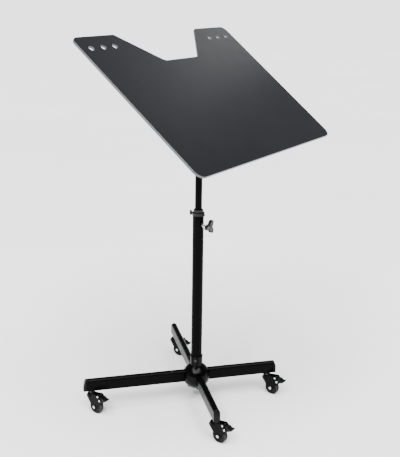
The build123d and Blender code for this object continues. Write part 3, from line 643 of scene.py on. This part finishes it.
def smooth_step(value: np.ndarray) -> np.ndarray:
    """Rise from 0 to 1 with no corner: 3 v squared less 2 v cubed, held at its ends."""
    held = np.clip(value, 0.0, 1.0)
    return held * held * (3.0 - 2.0 * held)


def hexagon(columns: int, flats: float) -> np.ndarray:
    """Distance to a hexagon's sides by direction.

    Half the width across flats, over the cosine of the angle from the nearest flat's middle.

    Args:
        columns: number of directions, a multiple of twelve, so that the corners have points.
        flats: width across flats.

    Returns:
        One distance for each direction.
    """
    turn = np.arange(columns) * FULL_TURN / columns
    from_flat = (turn + math.pi / 6) % (math.pi / 3) - math.pi / 6
    return flats / 2 / np.cos(from_flat)


def chamfered_hexagon(flats: float, low: float, high: float, columns: int = 72) -> Rows:
    """Rows of a hexagon bar whose corners are turned off at both ends.

    At each end the distance is the smaller of the hexagon's and a cone's, which starts just
    inside the flats and widens until it passes the corners.

    Args:
        flats: width across flats.
        low: height of the lower end.
        high: height of the upper end.
        columns: number of directions.

    Returns:
        Distances and heights by row.
    """
    sides = hexagon(columns, flats)
    face = 0.475 * flats
    widen = np.linspace(0.0, sides.max() - face, 7)
    drop = widen * 0.55
    cone = np.concatenate([face + widen, face + widen[::-1]])
    heights = np.concatenate([low + drop, high - drop[::-1]])
    return np.minimum(sides[None, :], cone[:, None]), heights[:, None]


def thread_rows(radius: float, depth: float, pitch: float, low: float, high: float) -> Rows:
    """Rows of a screw thread with one start.

    The distance falls from the radius by the depth times a triangle wave of height over pitch
    less the share of a turn, and the wave fades out over the first and last pitch.

    Args:
        radius: outer radius.
        depth: depth of the groove.
        pitch: height of one turn.
        low: height of the lower end.
        high: height of the upper end.

    Returns:
        Distances and heights by row.
    """
    columns = 40
    rows = int(round((high - low) / pitch)) * 8 + 1
    heights = np.linspace(low, high, rows)[:, None]
    share = np.arange(columns)[None, :] / columns
    wave = np.abs(2.0 * ((heights / pitch - share) % 1.0) - 1.0)
    fade = smooth_step((heights - low) / pitch) * smooth_step((high - heights) / pitch)
    end_round = 1.0 - smooth_step(np.minimum(heights - low, high - heights) / pitch)
    return radius - depth * (wave * fade + 0.8 * end_round), heights


# ------------------------------------------------------------------ sub-assemblies


@dataclass
class Joints:
    """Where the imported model's joints are."""

    rows: list[dict[str, Any]]

    def stand(self, name: str, side: Any) -> Stand:
        """Stand on a joint, with its third axis along the joint's own.

        Args:
            name: the joint's name.
            side: direction that the first axis comes nearest to.

        Returns:
            The stand.
        """
        row = next(r for r in self.rows if r["name"] == name)
        return Stand.facing(row["pos_m"], row["axis"], side)


@dataclass
class Assembly(ABC):
    """A sub-assembly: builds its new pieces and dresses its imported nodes."""

    shop: Shop
    joints: Joints
    finishes: ClassVar[dict[Look, tuple[str, ...]]] = {}

    @abstractmethod
    def build(self) -> None:
        """Make the new pieces."""

    def dress(self) -> None:
        """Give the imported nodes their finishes."""
        for look, names in self.finishes.items():
            self.shop.dresser.dress(look, *names)


@dataclass(frozen=True)
class Fastening:
    """A button-head screw with a hexagon socket, drawn with its head up from height zero."""

    head_radius: float
    head_height: float
    socket_flats: float
    socket_depth: float

    def skin(self, columns: int = 48) -> Skin:
        """The head: a low dome to the socket's edge, then straight down to the socket's floor.

        The dome's height falls with the square of the distance from the socket's edge.

        Args:
            columns: number of directions.

        Returns:
            The head's surface.
        """
        socket = hexagon(columns, self.socket_flats)[None, :]
        share = np.linspace(1.0, 0.0, 9)[:, None]
        dome_radii = socket + (self.head_radius - socket) * share
        dome_heights = self.head_height * (1.0 - 0.72 * share**2.2) + 0.0 * socket
        rim = np.full((1, columns), self.head_radius)
        floor = self.head_height - self.socket_depth
        radii = np.concatenate([0.96 * rim, rim, dome_radii, 0.98 * socket, 0.94 * socket])
        heights = np.concatenate(
            [0.0 * rim, 0.04 * self.head_height + 0.0 * rim, dome_heights]
            + [floor + 0.0 * socket, floor + 0.0 * socket]
        )
        return Skin.turned(radii, heights)


@dataclass
class WeldBead:
    """A weld bead: a low round ridge with the scallops of the welder's steps."""

    radius: float = 2.0 * MM
    step: float = 2.4 * MM
    corners: int = 14

    def skin(self, path: np.ndarray, sides: np.ndarray) -> Skin:
        """Bead along a path.

        Its radius swells and falls with a rectified sine of the distance along the path.

        Args:
            path: points of the path.
            sides: unit side direction at each point.

        Returns:
            The bead's surface.
        """
        steps = np.linalg.norm(np.diff(path, axis=0), axis=1)
        along = np.concatenate([[0.0], np.cumsum(steps)])
        swell = 0.86 + 0.14 * np.abs(np.sin(math.pi * along / self.step))
        ends = np.minimum(along, along[-1] - along) / self.radius
        swell *= np.sqrt(np.clip(ends, 0.02, 1.0))
        turn = np.arange(self.corners) * FULL_TURN / self.corners
        ring = np.stack([np.cos(turn), np.sin(turn)], axis=-1)
        return Skin.drawn(path, sides, self.radius * swell[:, None, None] * ring[None])


@dataclass
class Desk(Assembly):
    """The board, its bracket and their fastenings."""

    finishes: ClassVar[dict[Look, tuple[str, ...]]] = {
        Look.BOARD: ("board",),
        Look.TUBE: ("tilt_bracket",),
        Look.CHROME: ("tilt_pin", "tilt_washers"),
    }
    tilt_deg: float = 37.3
    plate_drop: float = 39.0 * MM
    cheek_inner: float = 16.8 * MM
    cheek_sheet: float = 3.0 * MM
    cheek_length: float = 70.0 * MM
    screw: Fastening = Fastening(
        head_radius=5.0 * MM, head_height=2.8 * MM, socket_flats=3.0 * MM, socket_depth=1.7 * MM
    )
    screw_out: float = 48.0 * MM
    screw_along: float = 43.0 * MM

    def build(self) -> None:
        """Make the bracket's weld beads and its screws."""
        tilt = math.radians(self.tilt_deg)
        slope = (0.0, math.cos(tilt), math.sin(tilt))
        normal = (0.0, -math.sin(tilt), math.cos(tilt))
        pivot = self.joints.stand("board_tilt", (1.0, 0.0, 0.0)).origin
        level = Stand.facing(pivot, normal, (1.0, 0.0, 0.0))
        self.shop.piece("bracket_welds", self.beads().at(level), Look.TUBE, "desk")
        screw = self.screw.skin()
        down = -np.array(normal)
        spots = [(sx * self.screw_out, sy * self.screw_along) for sx in (-1, 1) for sy in (-1, 1)]
        heads = [
            screw.at(Stand.facing(level.carry(np.array([x, y, self.plate_drop])), down, slope))
            for x, y in spots
        ]
        self.shop.piece("bracket_screw_heads", Skin.joined(heads), Look.BLACKED, "desk", ("board_screws",))

    def beads(self) -> Skin:
        """The four beads between the cheeks and the plate, in the level frame of the pivot."""
        bead = WeldBead(radius=1.8 * MM)
        count = 160
        along = np.linspace(-0.46, 0.46, count) * self.cheek_length
        lines = []
        for x in (self.cheek_inner, self.cheek_inner + self.cheek_sheet):
            for side in (-1.0, 1.0):
                path = np.stack([np.full(count, side * x), along, np.full(count, self.plate_drop)], axis=-1)
                lines.append(bead.skin(path, np.tile([1.0, 0.0, 0.0], (count, 1))))
        return Skin.joined(lines)


@dataclass
class HandKnob:
    """A moulded hand knob with round lobes and a sunk face.

    Its outline is the inner radius plus the rest of the way to the outer radius times the
    half-raised cosine of the lobe count times the angle, to a power that sets how full the
    lobes are.
    """

    inner: float
    outer: float
    lobes: int
    thick: float
    fullness: float
    neck_radius: float
    neck: float
    rim: float = 2.2 * MM
    sink: float = 1.4 * MM
    rounding: float = 1.8 * MM
    boss: float = 5.6 * MM
    bevel: float = 1.0 * MM
    root: float = 0.6 * MM
    lip: float = 0.5 * MM
    slope: float = 1.0 * MM
    columns: int = 180

    def outline(self) -> np.ndarray:
        """The outline's radius by direction, with a lobe's middle at the first column."""
        turn = np.arange(self.columns) * FULL_TURN / self.columns
        raised = 0.5 + 0.5 * np.cos(self.lobes * turn)
        return self.inner + (self.outer - self.inner) * raised**self.fullness

    def skin(self) -> Skin:
        """The knob, with its neck below height zero and its sunk face on top.

        Rows go up the neck, out over the back, round both rims on quarter circles, down into
        the sunk face, and over the middle boss.
        """
        plan = self.outline()[None, :]
        ring = np.ones_like(plan)
        quarter = np.linspace(0.0, math.pi / 2, 7)[:, None]
        falling = self.rounding * (1.0 - np.sin(quarter))
        rising = self.rounding * (1.0 - np.cos(quarter))
        neck = self.neck_radius * ring
        radii = [neck - self.bevel, neck, neck, neck + self.root]
        heights = [-self.neck * ring, (self.bevel - self.neck) * ring, -self.root * ring, 0.0 * ring]
        radii += [plan - falling, plan - rising]
        heights += [rising * ring, (self.thick - falling) * ring]
        edge = plan - self.rounding - self.lip
        wall = plan - self.rounding - self.rim * 0.5
        floor = wall - self.slope
        lip_height = (self.thick - self.lip) * ring
        sunk = self.thick - self.sink
        radii += [edge, wall, floor]
        heights += [self.thick * ring, lip_height, sunk * ring]
        share = np.linspace(0.8, 0.2, 4)[:, None]
        foot = self.boss + self.slope
        radii += [foot + (floor - foot) * share, foot * ring, self.boss * ring]
        heights += [sunk * np.ones((5, 1)) * ring, lip_height]
        cap = np.array([0.92, 0.60, 0.56, 0.50, 0.20])[:, None] * self.boss
        cap_heights = self.thick - np.array([0.15, 0.15, 0.55, 0.60, 0.60])[:, None] * MM
        radii += [cap * ring]
        heights += [cap_heights * ring]
        return Skin.turned(np.concatenate(radii), np.concatenate(heights))


@dataclass
class TiltHead(Assembly):
    """The cast eye on the mast, and the knob that locks the tilt."""

    finishes: ClassVar[dict[Look, tuple[str, ...]]] = {Look.CAST: ("tilt_eye",)}
    knob: HandKnob = field(
        default_factory=lambda: HandKnob(15.6 * MM, 22.0 * MM, 5, 14.0 * MM, 1.0, 8.0 * MM, 9.0 * MM)
    )

    def build(self) -> None:
        """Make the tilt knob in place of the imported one."""
        stand = self.joints.stand("tilt_lock_turn", (0.0, 0.0, 1.0))
        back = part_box("tilt_knob")[1].x - self.knob.thick
        skin = self.knob.skin().at(stand.moved(0, back))
        self.shop.piece("tilt_hand_knob", skin, Look.KNOB, "tilt_lock", ("tilt_knob",))


@dataclass
class HeightClamp(Assembly):
    """The nut on the tube, and the stud, pad and three-lobed knob that hold the mast's height."""

    finishes: ClassVar[dict[Look, tuple[str, ...]]] = {
        Look.CHROME: ("clamp_boss",),
        Look.BRASS: ("clamp_pad",),
    }
    stud_radius: float = 4.0 * MM
    thread_pitch: float = 1.25 * MM
    thread_depth: float = 0.65 * MM
    tip_radius: float = 2.5 * MM
    tip_length: float = 3.9 * MM
    knob: HandKnob = field(
        default_factory=lambda: HandKnob(10.8 * MM, 25.0 * MM, 3, 12.0 * MM, 1.2, 8.0 * MM, 5.0 * MM)
    )

    def build(self) -> None:
        """Make the knob and the threaded stud."""
        stand = self.joints.stand("clamp_turn", (-1.0, 0.0, 0.0))
        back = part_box("clamp_knob")[0].y + self.knob.thick
        knob = self.knob.skin().at(stand.moved(1, back))
        self.shop.piece("clamp_hand_knob", knob, Look.KNOB, "clamp_handle", ("clamp_knob",))
        self.stud(stand)

    def stud(self, stand: Stand) -> None:
        """Make the threaded stud, with its plain tip.

        Args:
            stand: the clamp's joint, whose third axis points away from the column.
        """
        low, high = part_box("clamp_stud")
        length = high.y - low.y
        tip, tip_length = self.tip_radius, self.tip_length
        radii, heights = thread_rows(
            self.stud_radius, self.thread_depth, self.thread_pitch, tip_length, length
        )
        ring = np.ones((1, radii.shape[1]))
        nose = np.array([0.6, 1.0, 1.0, 1.0])[:, None] * tip
        nose_heights = np.array([0.0, 0.4 * MM, 2.0 * MM, tip_length])[:, None]
        rows = np.concatenate([nose * ring, radii])
        levels = np.concatenate([nose_heights, heights])
        skin = Skin.turned(rows, levels).at(stand.moved(1, high.y))
        self.shop.piece("clamp_threaded_stud", skin, Look.CHROME, "clamp_handle", ("clamp_stud",))


@dataclass
class Column(Assembly):
    """The two tubes, their guides, and the collar with its wing screw."""

    finishes: ClassVar[dict[Look, tuple[str, ...]]] = {
        Look.TUBE: ("column_tube", "mast_tube"),
        Look.CAST: ("collar",),
        Look.BUSH: ("top_bush", "mast_glide"),
    }
    wing_span: float = 18.0 * MM
    wing_width: float = 10.8 * MM
    wing_thick: float = 4.0 * MM
    shank_radius: float = 2.5 * MM
    thread_depth: float = 0.4 * MM
    thread_pitch: float = 0.8 * MM
    thread_length: float = 5.6 * MM

    def build(self) -> None:
        """Make the wing screw."""
        low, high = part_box("collar_wing_screw")
        height = (low.z + high.z) / 2
        stem = Stand.facing((0.0, low.y, height), (0.0, 1.0, 0.0), (1.0, 0.0, 0.0))
        reach = high.y - low.y
        middle = (0.0, high.y - self.wing_width / 2, height)
        wing = self.wings().at(Stand.facing(middle, (0, 0, 1), (1, 0, 0)))
        skin = Skin.joined([self.stem(reach).at(stem), wing])
        self.shop.piece("collar_wing_bolt", skin, Look.CAST, "collar_lock", ("collar_wing_screw",))

    def stem(self, reach: float) -> Skin:
        """The screw's threaded shank and the round root of its wings.

        Args:
            reach: the whole length, to the wings' far side.

        Returns:
            The surface, drawn up from the screw's tip.
        """
        length = self.thread_length
        radii, heights = thread_rows(self.shank_radius, self.thread_depth, self.thread_pitch, 0.0, length)
        ring = np.ones((1, radii.shape[1]))
        root = self.wing_thick
        bell = column_of(0.72 * root, root, root, 0.80 * root, 0.45 * root)
        levels = np.array([[5.7], [6.3], [9.0], [-3.6], [-2.0]]) * MM
        levels[3:] += reach
        return Skin.turned(np.concatenate([radii, bell * ring]), np.concatenate([heights, levels]))

    def wings(self) -> Skin:
        """The two wings as one surface about the upright line through their middle.

        At the height share s of the half span, the half width is the root of one less s to the
        fourth, the half thickness is thin near the middle and full near the ends, and both
        meet the ends on a round.
        """
        share = np.sin(np.linspace(-0.5, 0.5, 41) * math.pi)[:, None]
        turn = np.arange(48)[None, :] * FULL_TURN / 48
        close = np.sqrt(np.clip(1.0 - share**4, 0.0, 1.0))
        half_width = 0.5 * self.wing_width * close
        half_thick = 0.5 * self.wing_thick * close * (0.62 + 0.38 * smooth_step(np.abs(share) * 1.4 - 0.2))
        across, along = half_thick * np.cos(turn), half_width * np.sin(turn)
        heights = 0.5 * self.wing_span * share + 0.0 * turn
        made = Skin.turned(np.ones_like(across), heights)
        body = np.stack([across, along, heights], axis=-1).reshape(-1, 3)
        return Skin(np.concatenate([body, made.points[-2:]]), made.faces)


@dataclass
class Base(Assembly):
    """The hub and its four arms, with their bolts, plugs and inserts."""

    finishes: ClassVar[dict[Look, tuple[str, ...]]] = {
        Look.HUB: ("hub",),
        Look.NYLON: ("hub_cover", *(f"arm_plug_{corner}" for corner in CORNERS)),
        Look.BLACKED: ("sleeve_screw", "arm_bolts", "arm_nuts", "stem_inserts"),
        Look.ARM: tuple(f"arm_{corner}" for corner in CORNERS),
    }
    hexagon_flats: float = 14.0 * MM
    hexagon_thick: float = 4.0 * MM
    thread_depth: float = 0.8 * MM
    thread_pitch: float = 1.5 * MM
    nut_flats: float = 17.0 * MM
    kingpin_radius: float = 5.0 * MM
    stem_turn: tuple[float, float, float] = (1.0, 0.0, 0.0)

    def build(self) -> None:
        """Make the stems with their hexagons, and the lock nuts."""
        low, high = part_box("castor_stems")
        nut_low, nut_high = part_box("lock_nuts")
        stems, nuts = [], []
        for corner in CORNERS:
            stand = self.joints.stand(f"swivel_{corner}", self.stem_turn).moved(2, 0.0)
            stems.append(self.stem(low.z, nut_low.z, high.z).at(stand))
            radii, heights = chamfered_hexagon(self.nut_flats, nut_low.z, nut_high.z)
            nuts.append(Skin.turned(radii, heights).at(stand))
        self.shop.piece("castor_threaded_stems", Skin.joined(stems), Look.CHROME, "base", ("castor_stems",))
        self.shop.piece("stem_lock_nuts", Skin.joined(nuts), Look.BLACKED, "base", ("lock_nuts",))

    def stem(self, low: float, nut_low: float, high: float) -> Skin:
        """Rivet head, kingpin, hexagon with turned corners, and the thread above it.

        Args:
            low: height of the rivet's foot.
            nut_low: height of the hexagon's upper face, where the lock nut starts.
            high: height of the thread's end.

        Returns:
            The stem's surface about the upright axis.
        """
        pin = self.kingpin_radius
        hexagon_low = nut_low - self.hexagon_thick
        sides, side_heights = chamfered_hexagon(self.hexagon_flats, hexagon_low, nut_low)
        ring = np.ones((1, sides.shape[1]))
        dome = column_of(0.3 * pin, 0.8 * pin, 1.2 * pin, 1.44 * pin, 1.5 * pin, 1.5 * pin, pin, pin)
        levels = low + column_of(0.0, 0.1, 0.4, 0.9, 1.4, 2.0, 2.0, 2.6) * MM
        thread, thread_heights = thread_rows(
            pin, self.thread_depth, self.thread_pitch, nut_low + 0.2 * MM, high
        )
        columns = np.round(np.linspace(0, thread.shape[1], sides.shape[1], endpoint=False)).astype(int)
        thread = thread[:, columns % thread.shape[1]]
        shank = np.array([[pin], [pin]]) * ring
        shank_heights = np.array([[low + 3.0 * MM], [hexagon_low - 0.05 * MM]])
        radii = np.concatenate([dome * ring, shank, sides, thread])
        heights = np.concatenate([levels, shank_heights, side_heights, thread_heights])
        return Skin.turned(radii, heights)


@dataclass
class Castor(Assembly):
    """One castor: fork, axle, wheel and brake pedal."""

    corner: str
    wheel_radius: float = 25.0 * MM
    core_radius: float = 17.5 * MM
    bore_radius: float = 4.05 * MM
    half_width: float = 10.0 * MM
    shoulder: float = 3.0 * MM
    groove_out: float = 3.4 * MM
    groove_depth: float = 0.7 * MM
    wear_start: float = 2.2 * MM
    wear_run: float = 1.2 * MM
    web_depth: float = 2.6 * MM
    web_slope: float = 0.7 * MM
    rim_radius: float = 15.0 * MM
    boss_radius: float = 8.4 * MM
    core_inset: float = 0.15 * MM
    ribs: int = 8
    axle_radius: float = 3.98 * MM
    axle_flats: float = 10.0 * MM
    axle_head: float = 3.5 * MM
    cheek_outside: float = 12.1 * MM
    toe_bars: int = 5
    bar_radius: float = 0.75 * MM
    bar_reach: float = 8.6 * MM
    first_bar: tuple[float, float] = (17.6 * MM, 8.95 * MM)
    last_bar: tuple[float, float] = (26.0 * MM, 9.72 * MM)
    pin_radius: float = 2.5 * MM
    pin_head_radius: float = 3.75 * MM
    pin_head_height: float = 2.0 * MM
    stop_pin: tuple[float, float] = (13.0 * MM, -8.0 * MM)

    def build(self) -> None:
        """Make the tyre, the wheel's core, the axle bolt, the brake pins and the pedal's grip bars."""
        corner = self.corner
        roll = self.joints.stand(f"roll_{corner}", (0.0, 0.0, 1.0))
        brake = self.joints.stand(f"brake_{corner}", (0.0, 0.0, 1.0))
        parts = [
            ("tread_tyre", self.tyre(), roll, Look.TYRE, "wheel", "tyre"),
            ("ribbed_core", self.core(), roll, Look.NYLON, "wheel", "wheel_core"),
            ("axle_bolt", self.axle(), roll, Look.CHROME, "castor", "castor_axle"),
            ("pin_heads", self.pins(self.pin_head), brake, Look.CHROME, "castor", "brake_pins"),
            ("pin_shanks", self.pins(self.pin_shank), brake, Look.BLACKED, "castor", "brake_pins"),
        ]
        for name, skin, stand, look, body, node in parts:
            made = skin.at(stand)
            self.shop.piece(f"{name}_{corner}", made, look, f"{body}_{corner}", (f"{node}_{corner}",))
        self.shop.piece(f"pedal_grip_{corner}", self.grip().at(brake), Look.NYLON, f"pedal_{corner}")

    def tyre(self) -> Skin:
        """Tyre with a crowned tread, two grooves and round shoulders.

        Across the tread, the radius falls with the square of the distance from its middle and
        dips at each groove by a bell curve; the shoulders are quarter circles, and the walls
        bulge by a half sine.  Wear rises from the shoulders to the tread.
        """
        flat = self.half_width - self.shoulder
        across = np.linspace(-flat, flat, 57)
        crown = 0.25 * MM * (across / flat) ** 2
        dip = self.groove_depth * np.exp(-(((np.abs(across) - self.groove_out) / (0.55 * MM)) ** 4))
        tread = self.wheel_radius - crown - dip
        quarter = np.linspace(0.0, math.pi / 2, 9)[1:]
        top = self.wheel_radius - 0.25 * MM - self.shoulder
        shoulder = top + self.shoulder * np.cos(quarter)
        shoulder_out = flat + self.shoulder * np.sin(quarter)
        wall = np.linspace(top, self.core_radius, 9)[1:]
        hollow = 0.35 * MM * np.sin(np.linspace(0.0, math.pi, 9)[1:])
        wall_out = self.half_width - hollow
        radii = column_of(wall[::-1], shoulder[::-1], tread, shoulder, wall)
        heights = column_of(-wall_out[::-1], -shoulder_out[::-1], across, shoulder_out, wall_out)
        columns = 144
        made = Skin.turned(radii * np.ones((1, columns)), heights, True)
        wear = smooth_step((radii - self.wheel_radius + self.wear_start) / self.wear_run)
        return Skin(made.points, made.faces, np.repeat(wear[:, 0], columns))

    def core(self) -> Skin:
        """Wheel core: a rim, a sunk web with ribs, and a hub round the bore.

        The face's height is the full half width at the rim and the hub, and between them it
        falls to the web, from which each rib rises by a power of the cosine of the rib count
        times the angle.
        """
        columns = 192
        turn = np.arange(columns)[None, :] * FULL_TURN / columns
        rib = (0.5 + 0.5 * np.cos(self.ribs * turn)) ** 14
        reach = np.linspace(self.core_radius, self.bore_radius, 40)[:, None]
        rim = smooth_step((reach - self.rim_radius) / self.web_slope)
        hub = smooth_step((self.boss_radius - reach) / self.web_slope)
        depth = self.web_depth * (1.0 - np.clip(rim + hub, 0.0, 1.0)) * (1.0 - 0.75 * rib)
        outer = self.half_width - self.core_inset
        face = outer - depth
        ring = np.ones((1, columns))
        radii = np.concatenate([self.core_radius * ring, reach * ring, reach[::-1] * ring])
        heights = np.concatenate([-outer * ring, face, -face[::-1]])
        return Skin.turned(radii, heights, True)

    def axle(self) -> Skin:
        """Axle bolt: a hexagon head, a plain shank, and a nut with the bolt's end in it."""
        outer = self.cheek_outside + self.axle_head
        head, head_heights = chamfered_hexagon(self.axle_flats, -outer, -self.cheek_outside)
        nut, nut_heights = chamfered_hexagon(self.axle_flats, self.cheek_outside, outer)
        ring = np.ones((1, head.shape[1]))
        shank = column_of(self.axle_radius, self.axle_radius)
        shank_heights = column_of(-self.cheek_outside, self.cheek_outside)
        dish = column_of(0.30, 0.34) * self.axle_flats
        dish_heights = -outer + column_of(0.35 * MM, 0.0)
        seat = column_of(0.35, 0.33, 0.32, 0.18) * self.axle_flats
        seat_heights = outer - column_of(0.0, 0.8, 0.8, 0.25) * MM
        radii = np.concatenate([dish * ring, head, shank * ring, nut, seat * ring])
        heights = np.concatenate([dish_heights, head_heights, shank_heights, nut_heights, seat_heights])
        return Skin.turned(radii, heights)

    def pin_shank(self) -> Skin:
        """A pin's plain shank, from cheek to cheek."""
        reach = self.cheek_outside
        radii = column_of(0.9, 1.0, 1.0, 0.9) * self.pin_radius
        heights = column_of(-reach, 0.3 * MM - reach, reach - 0.3 * MM, reach)
        return Skin.turned(radii * np.ones((1, 40)), heights)

    def pin_head(self) -> Skin:
        """A pin's two riveted heads, each a dome over a short upright rim.

        The dome's height is the root of one less the squared share of the radius.
        """
        share = np.sin(np.linspace(0.5, 0.04, 12) * math.pi)
        dome = self.pin_head_height * (0.3 + 0.7 * np.sqrt(1.0 - share**2))
        radii = column_of(0.94, 1.0, share) * self.pin_head_radius * np.ones((1, 40))
        rise = column_of(0.0, 0.05 * MM, dome)
        upper = Skin.turned(radii, self.cheek_outside + rise)
        lower = Skin.turned(radii[::-1], -self.cheek_outside - rise[::-1])
        return Skin.joined([upper, lower])

    def pins(self, part: Callable[[], Skin]) -> Skin:
        """A part of the pedal's pin and of the stop pin, drawn from the pedal's pivot.

        Args:
            part: makes the part about the pin's axis.

        Returns:
            Both parts' surface.
        """
        made = part()
        return Skin.joined([made, Skin(made.points + [*self.stop_pin, 0.0], made.faces)])

    def grip(self) -> Skin:
        """Low round bars across the pedal's toe, drawn from the pedal's pivot.

        Each bar is a rod along the pivot's axis whose ends close on a round; the bars stand in
        a line that follows the toe's slope.
        """
        share = np.sin(np.linspace(-0.5, 0.5, 17) * math.pi)[:, None]
        radii = self.bar_radius * np.sqrt(np.clip(1.0 - share**8, 0.0, 1.0)) * np.ones((1, 16))
        rod = Skin.turned(radii, self.bar_reach * share)
        back = np.linspace(self.first_bar[0], self.last_bar[0], self.toe_bars)
        up = np.linspace(self.first_bar[1], self.last_bar[1], self.toe_bars)
        return Skin.joined([Skin(rod.points + [rise, run, 0.0], rod.faces) for run, rise in zip(back, up)])

    def dress(self) -> None:
        """Give the fork and the pedal their finishes."""
        dress = self.shop.dresser.dress
        dress(Look.FORK, f"castor_fork_{self.corner}")
        dress(Look.NYLON, f"brake_pedal_{self.corner}")


# ------------------------------------------------------------------ studio


@dataclass
class Softbox:
    """A soft rectangular light."""

    name: str
    place: tuple[float, float, float]
    aim: tuple[float, float, float]
    width: float
    height: float
    power: float

    def build(self) -> None:
        """Hang the light, out of the camera's sight."""
        data = bpy.data.lights.new(self.name, "AREA")
        data.shape = "RECTANGLE"
        data.size = self.width
        data.size_y = self.height
        data.energy = self.power
        lamp = bpy.data.objects.new(self.name, data)
        bpy.context.scene.collection.objects.link(lamp)
        lamp.location = self.place
        lamp.rotation_mode = "QUATERNION"
        lamp.rotation_quaternion = (Vector(self.aim) - Vector(self.place)).to_track_quat("-Z", "Y")
        lamp.visible_camera = False


@dataclass
class Studio:
    """Pale floor, soft light and the camera."""

    stand: tuple[float, float, float] = (-2.09608, -1.41202, 1.44801)
    heading_deg: float = 56.175
    pitch_deg: float = 17.568
    roll_deg: float = 0.825
    lens: float = 61.657
    floor_size: float = 600.0
    sky: float = 0.30
    backdrop: float = 2.3
    sun: float = 9.5
    sun_spread_deg: float = 60.0

    def camera(self) -> None:
        """Set the camera: it looks along the heading from +Y to +X, down by the pitch, and rolls."""
        heading, pitch = math.radians(self.heading_deg), math.radians(self.pitch_deg)
        ahead = Vector(
            (math.sin(heading) * math.cos(pitch), math.cos(heading) * math.cos(pitch), -math.sin(pitch))
        )
        level = Vector((math.cos(heading), -math.sin(heading), 0.0))
        roll = math.radians(self.roll_deg)
        right = math.cos(roll) * level + math.sin(roll) * level.cross(ahead)
        up = right.cross(ahead)
        data = bpy.data.cameras.new("camera")
        data.lens = self.lens
        eye = bpy.data.objects.new("camera", data)
        turn = Matrix((right, up, -ahead)).transposed().to_4x4()
        eye.matrix_world = Matrix.Translation(self.stand) @ turn
        bpy.context.scene.collection.objects.link(eye)
        bpy.context.scene.camera = eye

    def floor(self) -> None:
        """Lay the pale floor, whose colour drifts very slightly."""
        half = self.floor_size / 2
        mesh = bpy.data.meshes.new("studio_floor")
        corners = [(-half, -half, 0.0), (half, -half, 0.0), (half, half, 0.0), (-half, half, 0.0)]
        mesh.from_pydata(corners, [], [(0, 1, 2, 3)])
        floor = bpy.data.objects.new("studio_floor", mesh)
        bpy.context.scene.collection.objects.link(floor)
        bench = Bench("studio_paper")
        drift = bench.spread(bench.noise(0.8, 2.0), 0.3, 0.7, 0.0, 1.0)
        bench.set(
            Base_Color=bench.mixed(drift, (0.86, 0.86, 0.87), (0.89, 0.89, 0.90)),
            Roughness=0.9,
            Specular_IOR_Level=0.1,
        )
        mesh.materials.append(bench.material)
        floor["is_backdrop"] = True

    def light(self) -> None:
        """Light the room: an even sky with a pale backdrop, a broad sun, and three softboxes."""
        world = bpy.data.worlds.new("studio_sky")
        world.use_nodes = True
        sky = world.node_tree.nodes["Background"]
        sky.inputs[0].default_value = (0.97, 0.98, 1.0, 1.0)
        seen = world.node_tree.nodes.new("ShaderNodeLightPath").outputs["Is Camera Ray"]
        strength = world.node_tree.nodes.new("ShaderNodeMath")
        strength.operation = "MULTIPLY_ADD"
        world.node_tree.links.new(seen, strength.inputs[0])
        strength.inputs[1].default_value = self.backdrop - self.sky
        strength.inputs[2].default_value = self.sky
        world.node_tree.links.new(strength.outputs[0], sky.inputs[1])
        bpy.context.scene.world = world
        sun = bpy.data.lights.new("broad_sun", "SUN")
        sun.energy = self.sun
        sun.angle = math.radians(self.sun_spread_deg)
        lamp = bpy.data.objects.new("broad_sun", sun)
        bpy.context.scene.collection.objects.link(lamp)
        lamp.rotation_mode = "QUATERNION"
        lamp.rotation_quaternion = Vector((0.35, 0.25, -1.0)).to_track_quat("-Z", "Y")
        low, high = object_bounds()
        middle = (low + high) / 2
        boxes = [
            Softbox("board_sheen", (2.9, 0.80, 2.75), (0.3, 0.1, 1.2), 1.3, 0.9, 4.6),
            Softbox("left_wall", (-2.3, 2.1, 0.75), (0.0, 0.0, 0.6), 1.6, 1.5, 6.0),
            Softbox("key", (-2.6, -0.5, 2.6), tuple(middle), 0.5, 0.5, 45.0),
        ]
        for box in boxes:
            box.build()

    def build(self) -> None:
        """Lay the floor, hang the lights and set the camera."""
        self.camera()
        self.floor()
        self.light()


def main() -> None:
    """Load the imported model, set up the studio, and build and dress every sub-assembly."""
    logging.basicConfig(level=logging.INFO, format="%(name)s: %(message)s")
    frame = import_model()
    joints = Joints(frame["joints"])
    shop = Shop(Dresser(frame["nodes"]))
    Studio().build()
    assemblies: list[Assembly] = [
        Desk(shop, joints),
        TiltHead(shop, joints),
        Column(shop, joints),
        HeightClamp(shop, joints),
        Base(shop, joints),
    ]
    assemblies += [Castor(shop, joints, corner) for corner in CORNERS]
    for assembly in assemblies:
        assembly.build()
        assembly.dress()


if __name__ == "__main__":
    main()
